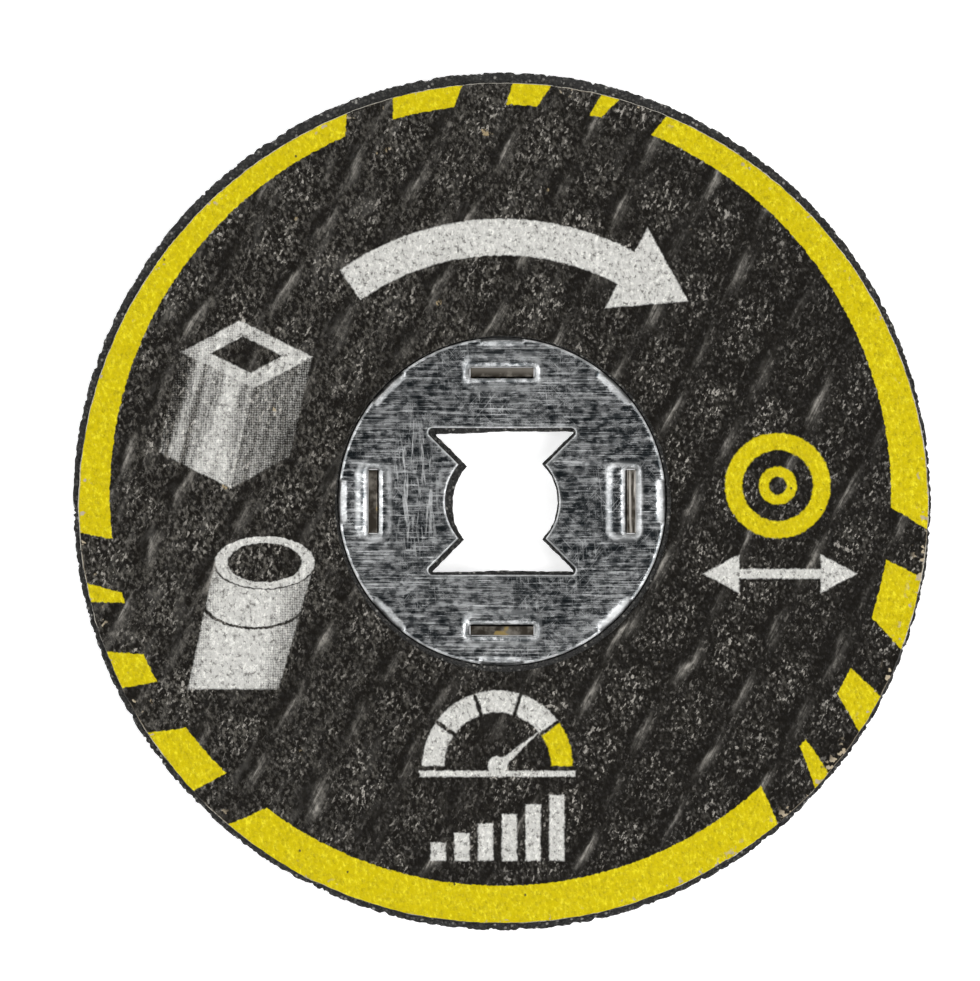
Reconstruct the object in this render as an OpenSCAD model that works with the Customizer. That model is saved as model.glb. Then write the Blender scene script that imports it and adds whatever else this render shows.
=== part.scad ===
// Cut-off wheel for a rotary tool, lying on its rear hub plate.
// A resin-bonded abrasive disc carries a paper label on its front face and a hub of two stamped
// steel plates, whose bow-tie hole locks onto a quick-change mandrel. Four tabs of the rear plate
// pass through the disc and are staked in slots of the front plate.
// Millimetres. The origin is on the spin axis at the rear plate's outer face, and +Z faces the label.

/* [Abrasive disc] */
// Outer diameter of the wheel
disc_d = 38; // [32:0.5:52]
// Thickness of the abrasive
disc_t = 1.2; // [1:0.05:2.5]

/* [Paper label] */
// Thickness of the paper
label_t = 0.1; // [0.06:0.01:0.2]
// Narrowest stretch of bare abrasive left outside the label
label_margin = 0.21; // [0.1:0.01:1]
// Narrowest gap between the label's hole and the hub's recess
label_gap = 0.02; // [0.01:0.01:0.3]
// How far off centre the label was stuck on, to the right
label_shift_x = 0.04; // [-0.2:0.01:0.2]
// How far off centre the label was stuck on, upwards
label_shift_y = -0.1; // [-0.2:0.01:0.2]

/* [Hub plates] */
// Diameter of both plates
plate_d = 14.5; // [14:0.1:18]
// Sheet thickness of both plates
plate_t = 0.4; // [0.3:0.02:0.6]
// How deep each plate is let into the disc
recess_t = 0.25; // [0.1:0.01:0.35]
// Groove between a plate's rim and the wall of its recess
recess_gap = 0.06; // [0.03:0.01:0.3]

/* [Drive hole] */
// Diameter of the round middle of the bow-tie hole
round_d = 5.05; // [4.6:0.05:5.4]
// Height of the bow-tie hole from flat to flat
bow_h = 6.5; // [6:0.1:7.4]
// Width of the hole at its two necks
neck_w = 3.85; // [3.4:0.05:4.3]
// Angle of the bow's flanks from the hole's long axis
flank_angle = 45; // [38:1:50]
// Radius of the bow's outer corners
corner_r = 0.2; // [0.1:0.02:0.4]
// How far the disc's own hole stands inside the hole of the plates
core_step = 0.16; // [0.02:0.01:0.2]
// How far off centre the disc's own hole was punched, to the right
core_shift = 0.06; // [0:0.01:0.2]

/* [Staked tabs] */
// Width of each tab of the rear plate
tab_w = 2.8; // [2:0.1:3.2]
// Diameter on which the middles of the tabs lie
tab_circle_d = 11.4; // [10.8:0.1:11.8]
// Clearance around each tab in the disc and in the front plate
tab_clearance = 0.08; // [0.03:0.01:0.12]
// How far the staked ends lie below the front plate's face
tab_drop = 0.22; // [0.1:0.01:0.3]
// Relief cut beside each tab in the rear plate's rim
tab_relief = 0.12; // [0.05:0.01:0.3]

/* [Dishes round the slots] */
// Depth of the pressed dish round each slot
dish_t = 0.14; // [0.05:0.01:0.18]
// Width of each dish, along the radius
dish_w = 1.7; // [1.2:0.05:1.9]
// Length of each dish, across the radius
dish_l = 3.7; // [3.3:0.1:4.4]

/* [Rim crimps] */
// Number of places where the front plate's rim is crimped down
crimp_count = 8; // [4:4:8]
// Length of each crimp along the rim
crimp_l = 1.9; // [1.2:0.1:2.6]
// Width of each crimp, along the radius
crimp_w = 0.34; // [0.2:0.02:0.4]
// Slope of each crimp
crimp_angle = 30; // [15:1:38]

/* [Hidden] */
$fn = 128;

tab_count = 4;
// Straight steps that each rounded corner of the bow-tie hole is made of
corner_steps = 10;
// Overshoot of every cut past the face it opens
past = 1;

plate_r = plate_d / 2;
recess_r = plate_r + recess_gap;
disc_z = plate_t - recess_t;
disc_top_z = disc_z + disc_t;
front_plate_z = disc_top_z - recess_t;
front_face_z = front_plate_z + plate_t;

label_shift = norm([label_shift_x, label_shift_y]);
label_r = disc_d / 2 - label_margin - label_shift;
label_hole_r = recess_r + label_gap + label_shift;

flank_slope = tan(flank_angle);
neck_y = sqrt(pow(round_d / 2, 2) - pow(neck_w / 2, 2));
// Half the width that the two flanks of the plates' hole would leave at the axis
flank_start = neck_w / 2 - flank_slope * neck_y;

tab_x = tab_circle_d / 2;
tab_top_z = front_face_z - tab_drop;
slot_l = tab_w + 2 * tab_clearance;
slot_w = plate_t + 2 * tab_clearance;
// A square tab still passes a slot whose corners have this radius
slot_corner_r = 2 * tab_clearance;

// Radius of the ball-ended punch that presses a dish of the stated width and depth
dish_punch_r = (pow(dish_w / 2, 2) + pow(dish_t, 2)) / (2 * dish_t);

// The four places of the tabs, turned about the axis
module at_tabs() {
    for (i = [0 : tab_count - 1])
        rotate(i * 360 / tab_count)
            translate([tab_x, 0, 0])
                children();
}

// Points along an arc about a centre
function arc(centre, r, from, to) = [
    for (i = [0 : corner_steps])
        let (angle = from + (to - from) * i / corner_steps)
            centre + r * [cos(angle), sin(angle)]
];

// One bow of the hole, from inside the round middle to its flat end with two rounded corners
module bow(end_y, start) {
    base_y = neck_y / 2;
    base_x = flank_slope * base_y + start;
    fillet_y = end_y - corner_r;
    fillet_x = flank_slope * fillet_y + start - corner_r / cos(flank_angle);
    polygon(concat(
        [[-base_x, base_y], [base_x, base_y]],
        arc([fillet_x, fillet_y], corner_r, -flank_angle, 90),
        arc([-fillet_x, fillet_y], corner_r, 90, 180 + flank_angle)
    ));
}

// Outline of the bow-tie hole, drawn in by step on every side
module bow_tie(step) {
    end_y = bow_h / 2 - step;
    start = flank_start - step / cos(flank_angle);
    circle(r = round_d / 2 - step);
    for (turn = [0, 180])
        rotate(turn)
            bow(end_y, start);
}

module bow_tie_cut(step = 0) {
    translate([0, 0, -past])
        linear_extrude(front_face_z + 2 * past)
            bow_tie(step);
}

// Upright cut for one tab, centred on the tab's own place
module slot_cut() {
    across = slot_w / 2 - slot_corner_r;
    along = slot_l / 2 - slot_corner_r;
    translate([0, 0, -past])
        linear_extrude(front_face_z + 2 * past) {
            square([slot_w, 2 * along], center = true);
            square([2 * across, slot_l], center = true);
            for (x = [-across, across], y = [-along, along])
                translate([x, y])
                    circle(r = slot_corner_r);
        }
}

// Hollow that a ball-ended punch leaves in the front plate's face round one slot
module dish_cut() {
    reach = (dish_l - dish_w) / 2;
    translate([0, 0, front_face_z - dish_t + dish_punch_r]) {
        rotate([90, 0, 0])
            cylinder(r = dish_punch_r, h = 2 * reach, center = true);
        for (side = [-1, 1])
            translate([0, side * reach, 0])
                sphere(r = dish_punch_r);
    }
}

// Sloping cut that lowers the front plate's rim at one crimp
module crimp_cut() {
    translate([plate_r - crimp_w, -crimp_l / 2, front_face_z])
        rotate([0, crimp_angle, 0])
            cube([plate_r, crimp_l, plate_t]);
}

// Tab lanced from the rear plate's rim and bent up through a right angle
module bent_tab() {
    inner_x = -plate_t / 2;
    rotate([90, 0, 0])
        linear_extrude(tab_w, center = true) {
            intersection() {
                translate([inner_x, plate_t])
                    circle(r = plate_t);
                translate([inner_x, 0])
                    square(plate_t);
            }
            translate([inner_x, plate_t])
                square([plate_t, tab_top_z - plate_t]);
        }
}

// Notch that the lanced tab leaves in the rear plate's rim
module tab_notch() {
    notch_w = tab_w + 2 * tab_relief;
    translate([-plate_t / 2, -notch_w / 2, -past])
        cube([plate_r, notch_w, plate_t + 2 * past]);
}

module abrasive_disc() {
    color([0.12, 0.115, 0.11])
        difference() {
            translate([0, 0, disc_z])
                cylinder(d = disc_d, h = disc_t);
            translate([0, 0, front_plate_z])
                cylinder(r = recess_r, h = recess_t + past);
            translate([0, 0, disc_z - past])
                cylinder(r = recess_r, h = recess_t + past);
            translate([core_shift, 0, 0])
                bow_tie_cut(core_step);
            at_tabs()
                slot_cut();
        }
}

module paper_label() {
    color([0.17, 0.16, 0.15])
        translate([label_shift_x, label_shift_y, disc_top_z])
            difference() {
                cylinder(r = label_r, h = label_t);
                translate([0, 0, -past])
                    cylinder(r = label_hole_r, h = label_t + 2 * past);
            }
}

module front_hub_plate() {
    color("silver")
        difference() {
            translate([0, 0, front_plate_z])
                cylinder(r = plate_r, h = plate_t);
            bow_tie_cut();
            at_tabs() {
                slot_cut();
                dish_cut();
            }
            for (i = [0 : crimp_count - 1])
                rotate(i * 360 / crimp_count)
                    crimp_cut();
        }
}

module rear_hub_plate() {
    color("silver") {
        difference() {
            cylinder(r = plate_r, h = plate_t);
            bow_tie_cut();
            at_tabs()
                tab_notch();
        }
        at_tabs()
            bent_tab();
    }
}

abrasive_disc();
paper_label();
front_hub_plate();
rear_hub_plate();
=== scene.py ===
"""Looks of a small cut-off wheel for a rotary tool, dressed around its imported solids.

Each class is one sub-assembly or one finish. Sizes are in millimetres, meshes are modelled in millimetres,
and a finished piece is scaled to metres in the shared frame, with its place in its mesh.
"""

import logging
import math
from dataclasses import dataclass
from enum import Enum
from functools import reduce
from typing import Callable, Iterable, Sequence, Union

import bmesh
import bpy
from mathutils import Matrix, Vector, noise
from mathutils.geometry import delaunay_2d_cdt

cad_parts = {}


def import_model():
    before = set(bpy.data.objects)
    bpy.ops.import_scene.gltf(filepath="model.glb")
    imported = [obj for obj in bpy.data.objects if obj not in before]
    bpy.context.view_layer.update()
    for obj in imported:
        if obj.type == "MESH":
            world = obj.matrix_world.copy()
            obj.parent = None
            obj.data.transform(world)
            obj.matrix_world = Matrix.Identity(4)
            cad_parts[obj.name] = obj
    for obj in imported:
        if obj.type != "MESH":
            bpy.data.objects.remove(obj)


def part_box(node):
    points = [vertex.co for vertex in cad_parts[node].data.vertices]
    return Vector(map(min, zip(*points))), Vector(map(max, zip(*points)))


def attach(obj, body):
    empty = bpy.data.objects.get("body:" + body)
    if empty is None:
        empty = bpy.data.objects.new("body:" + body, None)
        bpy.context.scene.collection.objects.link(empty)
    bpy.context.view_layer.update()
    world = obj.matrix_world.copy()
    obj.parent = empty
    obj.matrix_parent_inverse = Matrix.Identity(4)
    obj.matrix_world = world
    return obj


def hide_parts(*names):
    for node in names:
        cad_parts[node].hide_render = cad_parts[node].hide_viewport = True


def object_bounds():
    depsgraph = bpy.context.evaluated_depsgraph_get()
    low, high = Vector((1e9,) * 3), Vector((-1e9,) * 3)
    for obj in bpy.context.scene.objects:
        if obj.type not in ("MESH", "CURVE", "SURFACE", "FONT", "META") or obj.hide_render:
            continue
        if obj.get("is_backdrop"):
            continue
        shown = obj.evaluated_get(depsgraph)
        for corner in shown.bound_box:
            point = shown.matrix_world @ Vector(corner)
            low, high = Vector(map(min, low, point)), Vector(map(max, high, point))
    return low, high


LOG = logging.getLogger("cut_off_wheel")
MM = 0.001
TAU = 2.0 * math.pi
# Points of a mesh that lie closer than this are joined, in millimetres
WELD = 1e-3
# How far a point may lie from a flat face and still count as part of it, in millimetres
FLUSH = 0.01

Point = tuple[float, float]
Colour = tuple[float, float, float, float]
Value = Union["Signal", "Ink", float, Colour, tuple[float, float, float]]

WHITE: Colour = (1.0, 1.0, 1.0, 1.0)


class Ink(Enum):
    """Colours of the label's print, of the paper where the print is worn, and of painted sheen, highlights,
    glints and shade, as linear light.
    """

    BLACK = (0.0060, 0.0048, 0.0032, 1.0)
    # Painted sheen on the creased paper
    CREASE_SHEEN = (0.05, 0.047, 0.042, 1.0)
    # Painted glints and sheen on the crumpled paper's crests
    CRUMPLE_SHEEN = (0.26, 0.243, 0.21, 1.0)
    # Painted highlight along the glass strands under the paper
    STRAND_HIGHLIGHT = (0.36, 0.34, 0.305, 1.0)
    # Painted glints of the grit under the paper
    GLINT_SPECK = (0.38, 0.357, 0.32, 1.0)
    STAIN = (0.36, 0.28, 0.16, 1.0)
    BARE = (0.50, 0.42, 0.30, 1.0)
    YELLOW = (0.65, 0.525, 0.001, 1.0)
    # Painted glints on the yellow ink
    GLINT_YELLOW = (0.92, 0.81, 0.025, 1.0)
    # Painted shade in the crumpled paper's hollows under the yellow ink
    SHADED_YELLOW = (0.50, 0.40, 0.002, 1.0)
    WORN_YELLOW = (0.46, 0.37, 0.002, 1.0)
    SPOTTED_YELLOW = (0.09, 0.075, 0.02, 1.0)
    SILVER = (0.62, 0.612, 0.58, 1.0)
    # Painted glints on the silver ink
    GLINT_SILVER = (0.90, 0.89, 0.84, 1.0)
    # Worn silver ink, and painted shade in the crumpled paper's hollows
    WORN_AND_SHADED_SILVER = (0.20, 0.195, 0.18, 1.0)


class Node(Enum):
    """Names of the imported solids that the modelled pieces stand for."""

    DISC = "abrasive_disc"
    LABEL = "paper_label"
    FRONT_PLATE = "front_hub_plate"
    REAR_PLATE = "rear_hub_plate"


class Slot(Enum):
    """The record's material slots."""

    GRIT = "bonded_abrasive"
    PAPER = "printed_paper"
    STEEL = "hub_steel"


@dataclass(frozen=True)
class NodeBox:
    """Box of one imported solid, in millimetres."""

    low: Vector
    high: Vector

    @classmethod
    def of(cls, node: Node) -> "NodeBox":
        """Read a solid's box from the frame.

        Args:
            node: The solid to measure.

        Returns:
            Its box.
        """
        low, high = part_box(node.value)
        return cls(Vector(low) / MM, Vector(high) / MM)

    @property
    def centre(self) -> Vector:
        """Middle of the box."""
        return (self.low + self.high) / 2

    @property
    def radius(self) -> float:
        """Half of the box's height on the page, which is a round solid's radius."""
        return (self.high.y - self.low.y) / 2


def smoothstep(low: float, high: float, value: float) -> float:
    """Ease from 0 at low to 1 at high.

    Args:
        low: Value at which the ease starts.
        high: Value at which it ends.
        value: Where it is read.

    Returns:
        A number from 0 to 1.
    """
    t = min(max((value - low) / (high - low), 0.0), 1.0)
    return t * t * (3 - 2 * t)


def polar(radius: float, angle: float) -> Vector:
    """Point on the page at a radius and an angle in radians."""
    return Vector((radius * math.cos(angle), radius * math.sin(angle)))


def ripple(x: float, y: float, count: float, layer: float) -> float:
    """Smooth noise from -1 to 1 over the page, with so many ripples a millimetre, on one of its layers."""
    return noise.noise(Vector((x * count, y * count, layer)))


def seen_from(turn: float, reach: float, x: float, y: float) -> Point:
    """Place as something at an angle and a reach from the axis sees it: outwards from it, then along it."""
    outwards = x * math.cos(turn) + y * math.sin(turn) - reach
    return outwards, y * math.cos(turn) - x * math.sin(turn)


def around(values: Sequence[float], x: float, y: float) -> float:
    """Read values that are spread evenly round the axis.

    Args:
        values: One value for each direction, counter-clockwise from the right.
        x: Place across the page.
        y: Place up the page.

    Returns:
        The value in the direction of the place, blended between its two neighbours.
    """
    turn = (math.atan2(y, x) % TAU) * len(values) / TAU
    first = int(turn) % len(values)
    share = turn - math.floor(turn)
    return values[first] * (1 - share) + values[(first + 1) % len(values)] * share


def arc(centre: Vector, radius: float, start: float, end: float, spacing: float) -> list[Vector]:
    """Points along an arc, both ends among them.

    Args:
        centre: Middle of the arc.
        radius: Its radius.
        start: Angle of its first point, in radians.
        end: Angle of its last point.
        spacing: Widest distance between two points.

    Returns:
        The points in order.
    """
    steps = max(2, math.ceil(abs(end - start) * radius / spacing))
    return [centre + polar(radius, start + (end - start) * i / steps) for i in range(steps + 1)]


def closed_path(corners: Sequence[Vector], spacing: float) -> list[Vector]:
    """Close an outline and split its long stretches.

    Args:
        corners: The outline's points in order.
        spacing: Widest distance between two points.

    Returns:
        Points all the way round, with none repeated.
    """
    shortest = 0.05 * spacing
    path: list[Vector] = []
    for here, there in zip(corners, [*corners[1:], corners[0]]):
        length = (there - here).length
        if length < shortest:
            continue
        steps = max(1, math.ceil(length / spacing))
        path += [here.lerp(there, i / steps) for i in range(steps)]
    return path


@dataclass(frozen=True)
class BowTie:
    """Hole of the hub: a round middle with a flat-ended bow above and below it."""

    round_r: float = 2.525
    half_height: float = 3.25
    neck_half_width: float = 1.925
    flank: float = math.radians(45)
    corner_r: float = 0.2
    least_corner_r: float = 0.04

    @property
    def slope(self) -> float:
        """How much wider each flank gets for each millimetre of height."""
        return math.tan(self.flank)

    @property
    def start(self) -> float:
        """Half the width that the flanks would leave at the axis."""
        return self.neck_half_width - self.slope * math.sqrt(self.round_r**2 - self.neck_half_width**2)

    def outline(self, grow: float, spacing: float) -> list[Vector]:
        """Outline of the hole, moved out by the same amount on every side.

        Args:
            grow: How far the outline lies outside the plates' hole, or inside it where negative.
            spacing: Widest distance between two points.

        Returns:
            Points all the way round, counter-clockwise.
        """
        radius = self.round_r + grow
        top = self.half_height + grow
        start = self.start + grow / math.cos(self.flank)
        corner_r = max(self.corner_r + grow, self.least_corner_r)
        lean = 1 + self.slope**2
        neck_y = (math.sqrt(lean * radius**2 - start**2) - self.slope * start) / lean
        neck = math.atan2(neck_y, self.slope * neck_y + start)
        fillet_y = top - corner_r
        fillet_x = self.slope * fillet_y + start - corner_r / math.cos(self.flank)
        quarter = arc(Vector((0, 0)), radius, 0, neck, spacing)
        quarter += arc(Vector((fillet_x, fillet_y)), corner_r, -self.flank, math.pi / 2, spacing)
        mirrored = [Vector((-p.x, p.y)) for p in reversed(quarter)]
        upper = quarter + mirrored
        lower = [-p for p in upper]
        return closed_path(upper + lower, spacing)

    def distance(self, x: float, y: float, grow: float = 0.0) -> float:
        """How far a point lies outside the hole, negative inside it.

        Args:
            x: Place across the hole.
            y: Place along it.
            grow: How far the hole is moved out on every side.

        Returns:
            The distance.
        """
        x, y = abs(x), abs(y)
        flank = (x - self.slope * y - self.start) * math.cos(self.flank)
        bow = max(y - self.half_height, flank)
        fillet_y = self.half_height - self.corner_r
        past_x = x - (self.slope * fillet_y + self.start - self.corner_r / math.cos(self.flank))
        past_y = y - fillet_y
        if past_x > 0 and past_x * math.sin(self.flank) + past_y * math.cos(self.flank) > 0:
            bow = math.hypot(past_x, past_y) - self.corner_r
        return min(math.hypot(x, y) - self.round_r, bow) - grow


@dataclass(frozen=True)
class RoundedBox:
    """Rectangle with round corners, upright about its own middle."""

    half_w: float
    half_h: float
    corner_r: float

    def outline(self, grow: float, spacing: float) -> list[Vector]:
        """Outline moved out by the same amount on every side.

        Args:
            grow: How far it is moved out.
            spacing: Widest distance between two points.

        Returns:
            Points all the way round, counter-clockwise.
        """
        x, y = self.half_w - self.corner_r, self.half_h - self.corner_r
        centres = ((x, y), (-x, y), (-x, -y), (x, -y))
        path: list[Vector] = []
        for i, centre in enumerate(centres):
            start = i * math.pi / 2
            path += arc(Vector(centre), self.corner_r + grow, start, start + math.pi / 2, spacing)
        return closed_path(path, spacing)

    def distance(self, x: float, y: float) -> float:
        """How far a point lies outside the box, negative inside it."""
        dx = abs(x) - self.half_w + self.corner_r
        dy = abs(y) - self.half_h + self.corner_r
        outside = math.hypot(max(dx, 0.0), max(dy, 0.0))
        return outside + min(max(dx, dy), 0.0) - self.corner_r


@dataclass(frozen=True)
class HubLayout:
    """Sizes that the two hub plates and the disc share."""

    hole: BowTie = BowTie()
    tab_count: int = 4
    tab_x: float = 5.7
    tab_half_w: float = 1.4
    tab_clearance: float = 0.08
    sheet_t: float = 0.4

    @property
    def slot(self) -> RoundedBox:
        """Slot that one tab passes through."""
        return RoundedBox(
            half_w=self.sheet_t / 2 + self.tab_clearance,
            half_h=self.tab_half_w + self.tab_clearance,
            corner_r=2 * self.tab_clearance,
        )

    def turns(self) -> list[float]:
        """Angles of the tabs about the axis."""
        return [i * TAU / self.tab_count for i in range(self.tab_count)]

    def placed(self, path: Sequence[Vector], turn: float) -> list[Vector]:
        """Move an outline from a tab's own middle to one of the tabs.

        Args:
            path: Points about the tab's middle.
            turn: Angle of the tab.

        Returns:
            The points on the page.
        """
        spun = Matrix.Rotation(turn, 2)
        return [spun @ (p + Vector((self.tab_x, 0))) for p in path]

    def at_tab(self, x: float, y: float, turn: float) -> Point:
        """Place of a point as one tab sees it: outwards from the tab's middle, then along it."""
        return seen_from(turn, self.tab_x, x, y)

    def slot_distance(self, x: float, y: float) -> float:
        """How far a point lies from the nearest slot, negative inside it."""
        slot = self.slot
        return min(slot.distance(*self.at_tab(x, y, turn)) for turn in self.turns())


@dataclass(frozen=True)
class GlassMesh:
    """Woven glass mesh moulded into the disc, which presses through both of its faces."""

    angle: float = math.radians(62.2)
    warp_pitch: float = 2.89
    weft_pitch: float = 3.22
    first_knot: Point = (-2.47, -10.38)
    strand_half_w: float = 0.7
    bend: float = 0.3
    bends: float = 0.15

    def lift(self, x: float, y: float) -> float:
        """How much a strand lifts the face at a place, from 0 in an opening to 1 on a strand."""
        c, s = math.cos(self.angle), math.sin(self.angle)
        along = x * c + y * s - self.first_knot[0]
        across = y * c - x * s - self.first_knot[1]
        highest = 0.0
        for place, pitch in ((across, self.warp_pitch), (along, self.weft_pitch)):
            place += self.bend * ripple(x, y, self.bends, pitch)
            from_strand = abs((place / pitch + 0.5) % 1.0 - 0.5) * pitch
            highest = max(highest, smoothstep(self.strand_half_w, 0.0, from_strand))
        return highest


@dataclass(frozen=True)
class Ring:
    """Closed outline on a sheet and how far it lies below the sheet's face."""

    path: list[Vector]
    drop: float = 0.0
    cut: bool = False


class Sheet:
    """Flat sheet that is filled with even triangles between its outlines."""

    def __init__(self, rings: Sequence[Ring], solid: Callable[[float, float], float], reach: float) -> None:
        """Keep the outlines.

        Args:
            rings: Every outline, with the ones that step down its edges.
            solid: How deep a point lies in the sheet, negative in a hole or past the rim.
            reach: Half the width of the sheet.
        """
        self.rings = rings
        self.solid = solid
        self.reach = reach

    def inner_points(self, pitch: float, margin: float) -> list[Vector]:
        """Evenly spread points inside the sheet.

        Args:
            pitch: Distance between them.
            margin: How far they keep from the sheet's edges.

        Returns:
            The points.
        """
        rows = math.ceil(2 * self.reach / pitch)
        points: list[Vector] = []
        for row in range(rows + 1):
            y = -self.reach + row * pitch
            for column in range(rows + 1):
                x = -self.reach + (column + 0.5 * (row % 2)) * pitch
                if self.solid(x, y) > margin:
                    points.append(Vector((x, y)))
        return points

    def fill(self, rings: Sequence[Ring], pitch: float, margin: float) -> bmesh.types.BMesh:
        """Fill the sheet with triangles.

        Args:
            rings: The outlines to keep.
            pitch: Distance between the points inside it.
            margin: How far those points keep from its edges.

        Returns:
            A mesh that faces up, whose points hold their drop as a negative height.
        """
        points: list[Vector] = []
        drops: list[float] = []
        edges: list[tuple[int, int]] = []
        for ring in rings:
            first = len(points)
            count = len(ring.path)
            points += ring.path
            drops += [ring.drop] * count
            edges += [(first + i, first + (i + 1) % count) for i in range(count)]
        inner = self.inner_points(pitch, margin)
        points += inner
        drops += [0.0] * len(inner)
        places, _, faces, origins, _, _ = delaunay_2d_cdt(points, edges, [], 1, 1e-6)
        sheet = bmesh.new()
        for place, origin in zip(places, origins):
            sheet.verts.new((place.x, place.y, -drops[origin[0]] if origin else 0.0))
        sheet.verts.ensure_lookup_table()
        for face in faces:
            middle = sum((places[i] for i in face), Vector((0, 0))) / len(face)
            if self.solid(middle.x, middle.y) > 0:
                sheet.faces.new([sheet.verts[i] for i in face])
        loose = [v for v in sheet.verts if not v.link_faces]
        bmesh.ops.delete(sheet, geom=loose, context="VERTS")
        sheet.normal_update()
        turned = [f for f in sheet.faces if f.normal.z < 0]
        bmesh.ops.reverse_faces(sheet, faces=turned)
        return sheet

    def face(self, pitch: float, margin: float) -> bmesh.types.BMesh:
        """The upper side, with its stepped edges."""
        return self.fill(self.rings, pitch, margin)

    def thicken(self, face: bmesh.types.BMesh, far_z: float, walled: float, rows: int = 1) -> None:
        """Close a shaped upper side with walls along its cut edges and a flat far side.

        Args:
            face: The upper side, at its own height. The walls and the far side are added to it.
            far_z: Height of the far side.
            walled: Only edges within this radius get a wall.
            rows: Number of rows in each wall.
        """
        far_pitch = self.reach / 12
        far = self.fill([Ring(r.path) for r in self.rings if r.cut], far_pitch, far_pitch / 2)
        bmesh.ops.reverse_faces(far, faces=far.faces)
        for vert in far.verts:
            vert.co.z = far_z
        edges = [e for e in face.edges if e.is_boundary and e.verts[0].co.xy.length < walled]
        for row in range(rows):
            made = bmesh.ops.extrude_edge_only(face, edges=edges)["geom"]
            for vert in only(made, bmesh.types.BMVert):
                vert.co.z += (far_z - vert.co.z) / (rows - row)
            edges = [e for e in only(made, bmesh.types.BMEdge) if e.is_boundary]
        absorb(face, far)
        bmesh.ops.remove_doubles(face, verts=face.verts, dist=WELD)


def only(geom: Iterable[object], kind: type) -> list:
    """Members of one kind in an operator's result."""
    return [member for member in geom if isinstance(member, kind)]


def absorb(mesh: bmesh.types.BMesh, other: bmesh.types.BMesh) -> None:
    """Move everything in one mesh into another.

    Args:
        mesh: The mesh that grows.
        other: The mesh that is moved into it. It is freed.
    """
    carried = bpy.data.meshes.new("carried")
    other.to_mesh(carried)
    other.free()
    mesh.from_mesh(carried)
    bpy.data.meshes.remove(carried)


def spun(profile: Sequence[Point], centre: Vector, steps: int, closed: bool) -> bmesh.types.BMesh:
    """Turn a profile about an upright axis.

    Args:
        profile: Points as radius and height.
        centre: Where the axis stands.
        steps: Number of steps in a full turn, a multiple of sixteen.
        closed: Whether the profile's last point joins its first.

    Returns:
        The turned mesh.
    """
    doublings = 4
    axis = (centre.x, centre.y, 0)
    angle = TAU / 2**doublings
    turned = bmesh.new()
    verts = [turned.verts.new((centre.x + r, centre.y, z)) for r, z in profile]
    ends = zip(verts, verts[1:] + verts[:1]) if closed else zip(verts, verts[1:])
    edges = [turned.edges.new(pair) for pair in ends]
    geom = verts + edges
    bmesh.ops.spin(turned, geom=geom, cent=axis, axis=(0, 0, 1), angle=angle, steps=steps // 2**doublings)
    for _ in range(doublings):
        made = bmesh.ops.duplicate(turned, geom=[*turned.verts, *turned.edges, *turned.faces])["geom"]
        copied = only(made, bmesh.types.BMVert)
        bmesh.ops.rotate(turned, verts=copied, cent=axis, matrix=Matrix.Rotation(angle, 3, "Z"))
        angle *= 2
    bmesh.ops.remove_doubles(turned, verts=turned.verts, dist=WELD)
    return turned


def finish_piece(
    mesh: bmesh.types.BMesh,
    name: str,
    materials: Sequence[bpy.types.Material],
    node: Node,
    slot: Slot,
    sharp: float,
) -> bpy.types.Object:
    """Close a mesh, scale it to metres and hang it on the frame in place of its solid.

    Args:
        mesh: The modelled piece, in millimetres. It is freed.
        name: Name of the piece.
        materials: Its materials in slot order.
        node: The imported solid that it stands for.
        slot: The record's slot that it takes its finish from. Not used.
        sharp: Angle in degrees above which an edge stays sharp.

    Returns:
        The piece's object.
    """
    bmesh.ops.remove_doubles(mesh, verts=mesh.verts, dist=WELD / 10)
    bmesh.ops.dissolve_degenerate(mesh, edges=mesh.edges, dist=WELD / 100)
    bmesh.ops.recalc_face_normals(mesh, faces=mesh.faces)
    for face in mesh.faces:
        face.smooth = True
    open_edges = sum(1 for e in mesh.edges if not e.is_manifold)
    triangles = sum(len(f.verts) - 2 for f in mesh.faces)
    bmesh.ops.scale(mesh, vec=(MM, MM, MM), verts=mesh.verts)
    data = bpy.data.meshes.new(name)
    mesh.to_mesh(data)
    mesh.free()
    data.set_sharp_from_angle(angle=math.radians(sharp))
    for material in materials:
        data.materials.append(material)
    piece = bpy.data.objects.new(name, data)
    bpy.context.scene.collection.objects.link(piece)
    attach(piece, "root")
    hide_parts(node.value)
    LOG.info("%s: %d triangles, %d open edges", name, triangles, open_edges)
    return piece


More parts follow.
